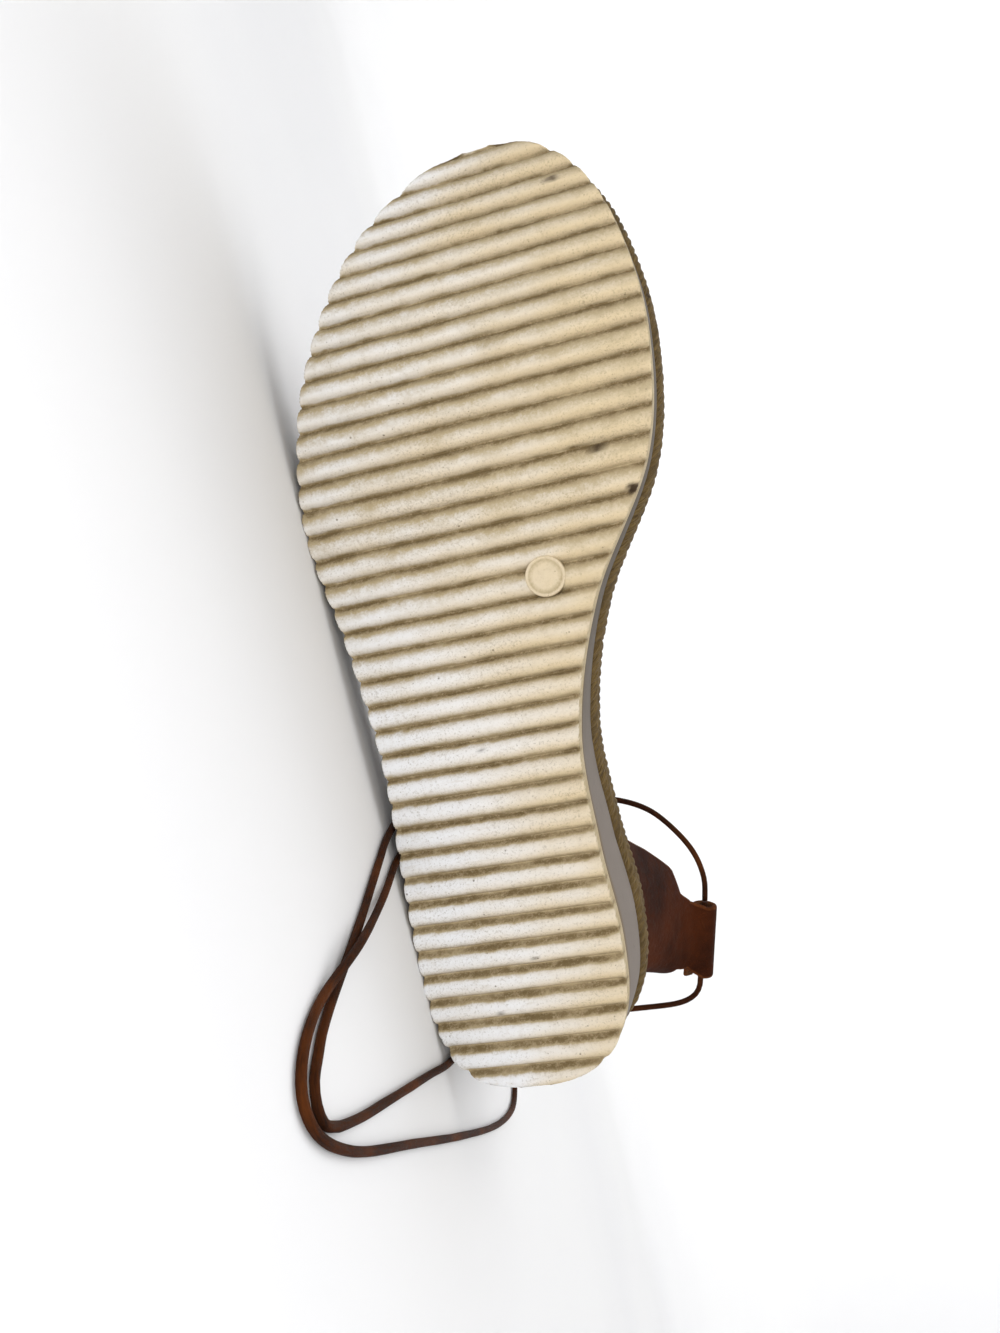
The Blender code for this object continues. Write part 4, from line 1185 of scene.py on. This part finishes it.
# A tab's column past CURL_START, out from the tunnel's middle and up: over the tunnel, and a flap inside
CURL_START = 0.056
CURL_RISE = (
    (0.00005, -0.0082), (0.00025, -0.007), (0.0008, -0.0058), (0.0016, -0.0047), (0.00245, -0.0038),
)
CURL_ANGLES = (-45, -27, -9, 9, 27, 45, 63, 81, 99, 117, 135, 153, 171, 189, 205, 218)
CURL_FLAP = ((-0.00375, -0.0038), (-0.00386, -0.005))
CURL_ROUND = [(math.cos(math.radians(a)), math.sin(math.radians(a))) for a in CURL_ANGLES]
CURL = np.concatenate((CURL_RISE, TUNNEL_OUTER_RADIUS * np.array(CURL_ROUND), CURL_FLAP))
CURL_SETTLES = (-0.009, -0.003)

# Creases of the quarter: heel angle, height, half length in degrees, half width and depth
QUARTER_CREASES = (
    (-4, 0.021, 22, 0.0016, 0.0005), (8, 0.0285, 18, 0.0018, 0.00045), (-14, 0.035, 12, 0.0014, 0.00035),
    (-34, 0.048, 5, 0.0013, 0.00045), (-33, 0.0525, 6, 0.001, 0.0004), (50, 0.05, 5, 0.0012, 0.0004),
)
CREASE_SWING = 0.0016
CREASE_SWING_ANGLE = 5.0
CREASE_BOW = 0.00008


def quarter_points(heel_angle, heights):
    """The quarter's outer face at heights along the leather."""
    angle = np.full(len(heights), 180.0 - heel_angle)
    foot = ring(angle, rope_inner_face(angle), seat)
    share = np.maximum(0, heights - QUARTER_UPRIGHT) / (QUARTER_FULL_HEIGHT - QUARTER_UPRIGHT)
    lean, sweep = (monotone(QUARTER, column, heel_angle) * share**QUARTER_LEAN_POWER for column in (2, 3))
    bulge = HEEL_BULGE * np.sin(math.pi * np.minimum(1, share)) * math.cos(math.radians(heel_angle)) ** 2
    rise = np.sqrt(np.maximum(heights**2 - lean**2 - sweep**2, 0))
    return foot + (lean + bulge)[:, None] * outwards(angle) + np.stack((np.zeros_like(rise), -sweep, rise), 1)


def tab_curl(heel_angle, tab):
    """The rest of a tab's column: over the tunnel and down inside as a flap."""
    tip = np.array((QUARTER_FULL_HEIGHT + TUNNEL_RISE,))
    first, second = (quarter_points(edge, tip)[0] for edge in tab)
    axis = unit(second - first)
    centre = first + (heel_angle - tab[0]) / (tab[1] - tab[0]) * (second - first)
    up = centre - quarter_points(heel_angle, np.array((CURL_START,)))[0]
    drift = up @ axis
    up = unit(up - drift * axis)
    out = np.cross(axis, up)
    out *= np.sign(out[:2] @ outline_normal(np.array((180.0 - heel_angle,)))[0])
    low, high = CURL_SETTLES
    settle = np.clip((CURL[:, 1] - low) / (high - low), 0, 1)
    settle[len(CURL_RISE):] = 1
    return centre + CURL[:, :1] * out + CURL[:, 1:] * up - (drift * (1 - settle))[:, None] * axis


def quarter_angles():
    """Heel angles of the quarter's columns, closer together beside the tabs."""
    angles = set(np.arange(QUARTER[-1, 0], QUARTER[0, 0] - 0.01, -QUARTER_STEP))
    for tab in (OUTER_TAB, INNER_TAB):
        for step in SHOULDER_STEPS:
            angles |= {min(tab) - step, max(tab) + step}
    kept = []
    for angle in sorted(angles, reverse=True):
        if not kept or kept[-1] - angle > QUARTER_CLOSEST:
            kept.append(angle)
    return kept


def quarter_push(heel_angle, heights, soft):
    """How far soft leather and creases push a column's points out."""
    dent = soft.copy()
    for at, level, length, width, depth in QUARTER_CREASES:
        swing = CREASE_SWING * math.sin(heel_angle / CREASE_SWING_ANGLE + at)
        bow = level + swing - CREASE_BOW * (heel_angle - at) ** 2 / length
        strength = math.exp(-(((heel_angle - at) / length) ** 4))
        dent -= depth * strength * np.exp(-(((heights - bow) / width) ** 2))
    return dent * window(QUARTER_FREE, (CURL_START, CURL_START - QUARTER_FREE_TOP), heights)


def make_quarter(material):
    columns, places = [], []
    for heel_angle in quarter_angles():
        tab = next((tab for tab in (OUTER_TAB, INNER_TAB) if min(tab) <= heel_angle <= max(tab)), None)
        beside = min(abs(heel_angle - edge) for edge in OUTER_TAB + INNER_TAB)
        shoulder = CURL_START - SHOULDER_DROP * smoothstep(0, SHOULDER_REACH, beside)
        top = CURL_START if tab else min(float(monotone(QUARTER, 1, heel_angle)), shoulder)
        heights = np.concatenate((QUARTER_FOOT_ROWS, np.linspace(QUARTER_UPRIGHT, top, QUARTER_ROWS)))
        column = quarter_points(heel_angle, heights)
        columns.append(np.concatenate((column, tab_curl(heel_angle, tab))) if tab else column)
        places.append((heel_angle, heights))
    starts = [0, *np.cumsum([len(column) for column in columns]).tolist()]
    faces = []
    for k in range(len(columns) - 1):
        for row in range(min(len(columns[k]), len(columns[k + 1])) - 1):
            a, b = starts[k] + row, starts[k + 1] + row
            faces.append((a, a + 1, b + 1, b))
    points = np.concatenate(columns)
    behind = starts[len(columns) // 2] + QUARTER_FACING_ROW
    faces, normals = faced(points, faces, lambda normals: -normals[behind, 1])
    push = np.zeros(len(points))
    soft = wander(points, *QUARTER_SOFT)
    for start, (heel_angle, heights) in zip(starts, places):
        rows = slice(start, start + len(heights))
        push[rows] = quarter_push(heel_angle, heights, soft[rows])
    build = Build()
    leather_shell(build, points + push[:, None] * normals, faces)
    build.made("heel_quarter", material, "upper_leather", "upper_heel_quarter")


STAGE_HALF_WIDTH = 2.2
STAGE_COLUMNS = 9
STAGE_FRONT = -1.4
STAGE_MIDDLE = -0.4
SWEEP_START = 0.55
SWEEP_RADIUS = 0.7
SWEEP_STEPS = 16
STAGE_TOP = 2.6
FLOOR_LEVEL = -0.0001


def make_stage(material):
    """A floor that sweeps up into its backdrop."""
    profile = [(STAGE_FRONT, FLOOR_LEVEL), (STAGE_MIDDLE, FLOOR_LEVEL), (SWEEP_START, FLOOR_LEVEL)]
    for turn in 0.5 * math.pi * np.arange(1, SWEEP_STEPS + 1) / SWEEP_STEPS:
        rise = SWEEP_RADIUS * (1 - math.cos(turn))
        profile.append((SWEEP_START + SWEEP_RADIUS * math.sin(turn), FLOOR_LEVEL + rise))
    profile.append((SWEEP_START + SWEEP_RADIUS, STAGE_TOP))
    across = np.linspace(-STAGE_HALF_WIDTH, STAGE_HALF_WIDTH, STAGE_COLUMNS)
    mesh = bpy.data.meshes.new("stage")
    points = [(x, y, z) for x in across for y, z in profile]
    mesh.from_pydata(points, [], grid_faces(len(across), len(profile)))
    mesh.materials.append(material)
    mesh.shade_smooth()
    linked(bpy.data.objects.new("stage", mesh))


# Area lights: name, place, what they face, size, power and colour
SHOE_MIDDLE = (0, -0.04, 0.05)
LIGHTS = (
    ("key_light", (-0.03, -0.52, 0.13), SHOE_MIDDLE, (0.26, 0.26), 1.4, (0.98, 0.99, 1.0)),
    ("fill_light", (0.9, -0.9, 0.5), SHOE_MIDDLE, (1.2, 1.2), 2.6, (1.0, 0.94, 0.86)),
    ("top_light", (0.0, 0.2, 1.8), (0, 0, 0), (3.0, 2.2), 22.0, (1.0, 1.0, 1.0)),
    ("backdrop_light", (0.0, 0.45, 1.4), (0.0, 1.45, 1.4), (3.2, 0.8), 31.0, (1.0, 1.0, 1.0)),
)
WORLD_COLOUR = (0.97, 0.98, 1.0, 1)
WORLD_STRENGTH = 0.3


def light_up():
    for name, place, target, size, power, colour in LIGHTS:
        data = bpy.data.lights.new(name, "AREA")
        data.shape = "RECTANGLE"
        data.size, data.size_y = size
        data.energy = power
        data.color = colour
        light = linked(bpy.data.objects.new(name, data))
        light.location = place
        light.visible_camera = False
        light.rotation_euler = (Vector(target) - Vector(place)).to_track_quat("-Z", "Y").to_euler()
    world = bpy.data.worlds.new("studio")
    world.use_nodes = True
    background = world.node_tree.nodes["Background"]
    background.inputs["Color"].default_value = WORLD_COLOUR
    background.inputs["Strength"].default_value = WORLD_STRENGTH
    bpy.context.scene.world = world
    bpy.context.scene.view_settings.view_transform = "Standard"


LACE_LENGTHS = {"bar": 0.17, "outer": 0.475, "inner": 0.466}


def main():
    make_camera()
    cord = cord_leather()
    outer_knot = make_knot("lace_outer_knot", OUTER_END, cord)
    inner_knot = make_knot("lace_inner_knot", INNER_END, cord)
    make_lace("lace_bar", BAR, LACE_LENGTHS["bar"], cord)
    make_lace("lace_outer_end", OUTER_END, LACE_LENGTHS["outer"], cord)
    make_lace("lace_inner_end", INNER_END, LACE_LENGTHS["inner"], cord)
    foam = tread_foam()
    make_outsole(foam)
    make_disc(foam)
    make_wall(wall_foam())
    make_ropes(jute())
    make_insole(lining())
    upper = upper_leather()
    make_band(upper)
    make_quarter(upper)
    make_stage(floor_paint())
    light_up()


main()
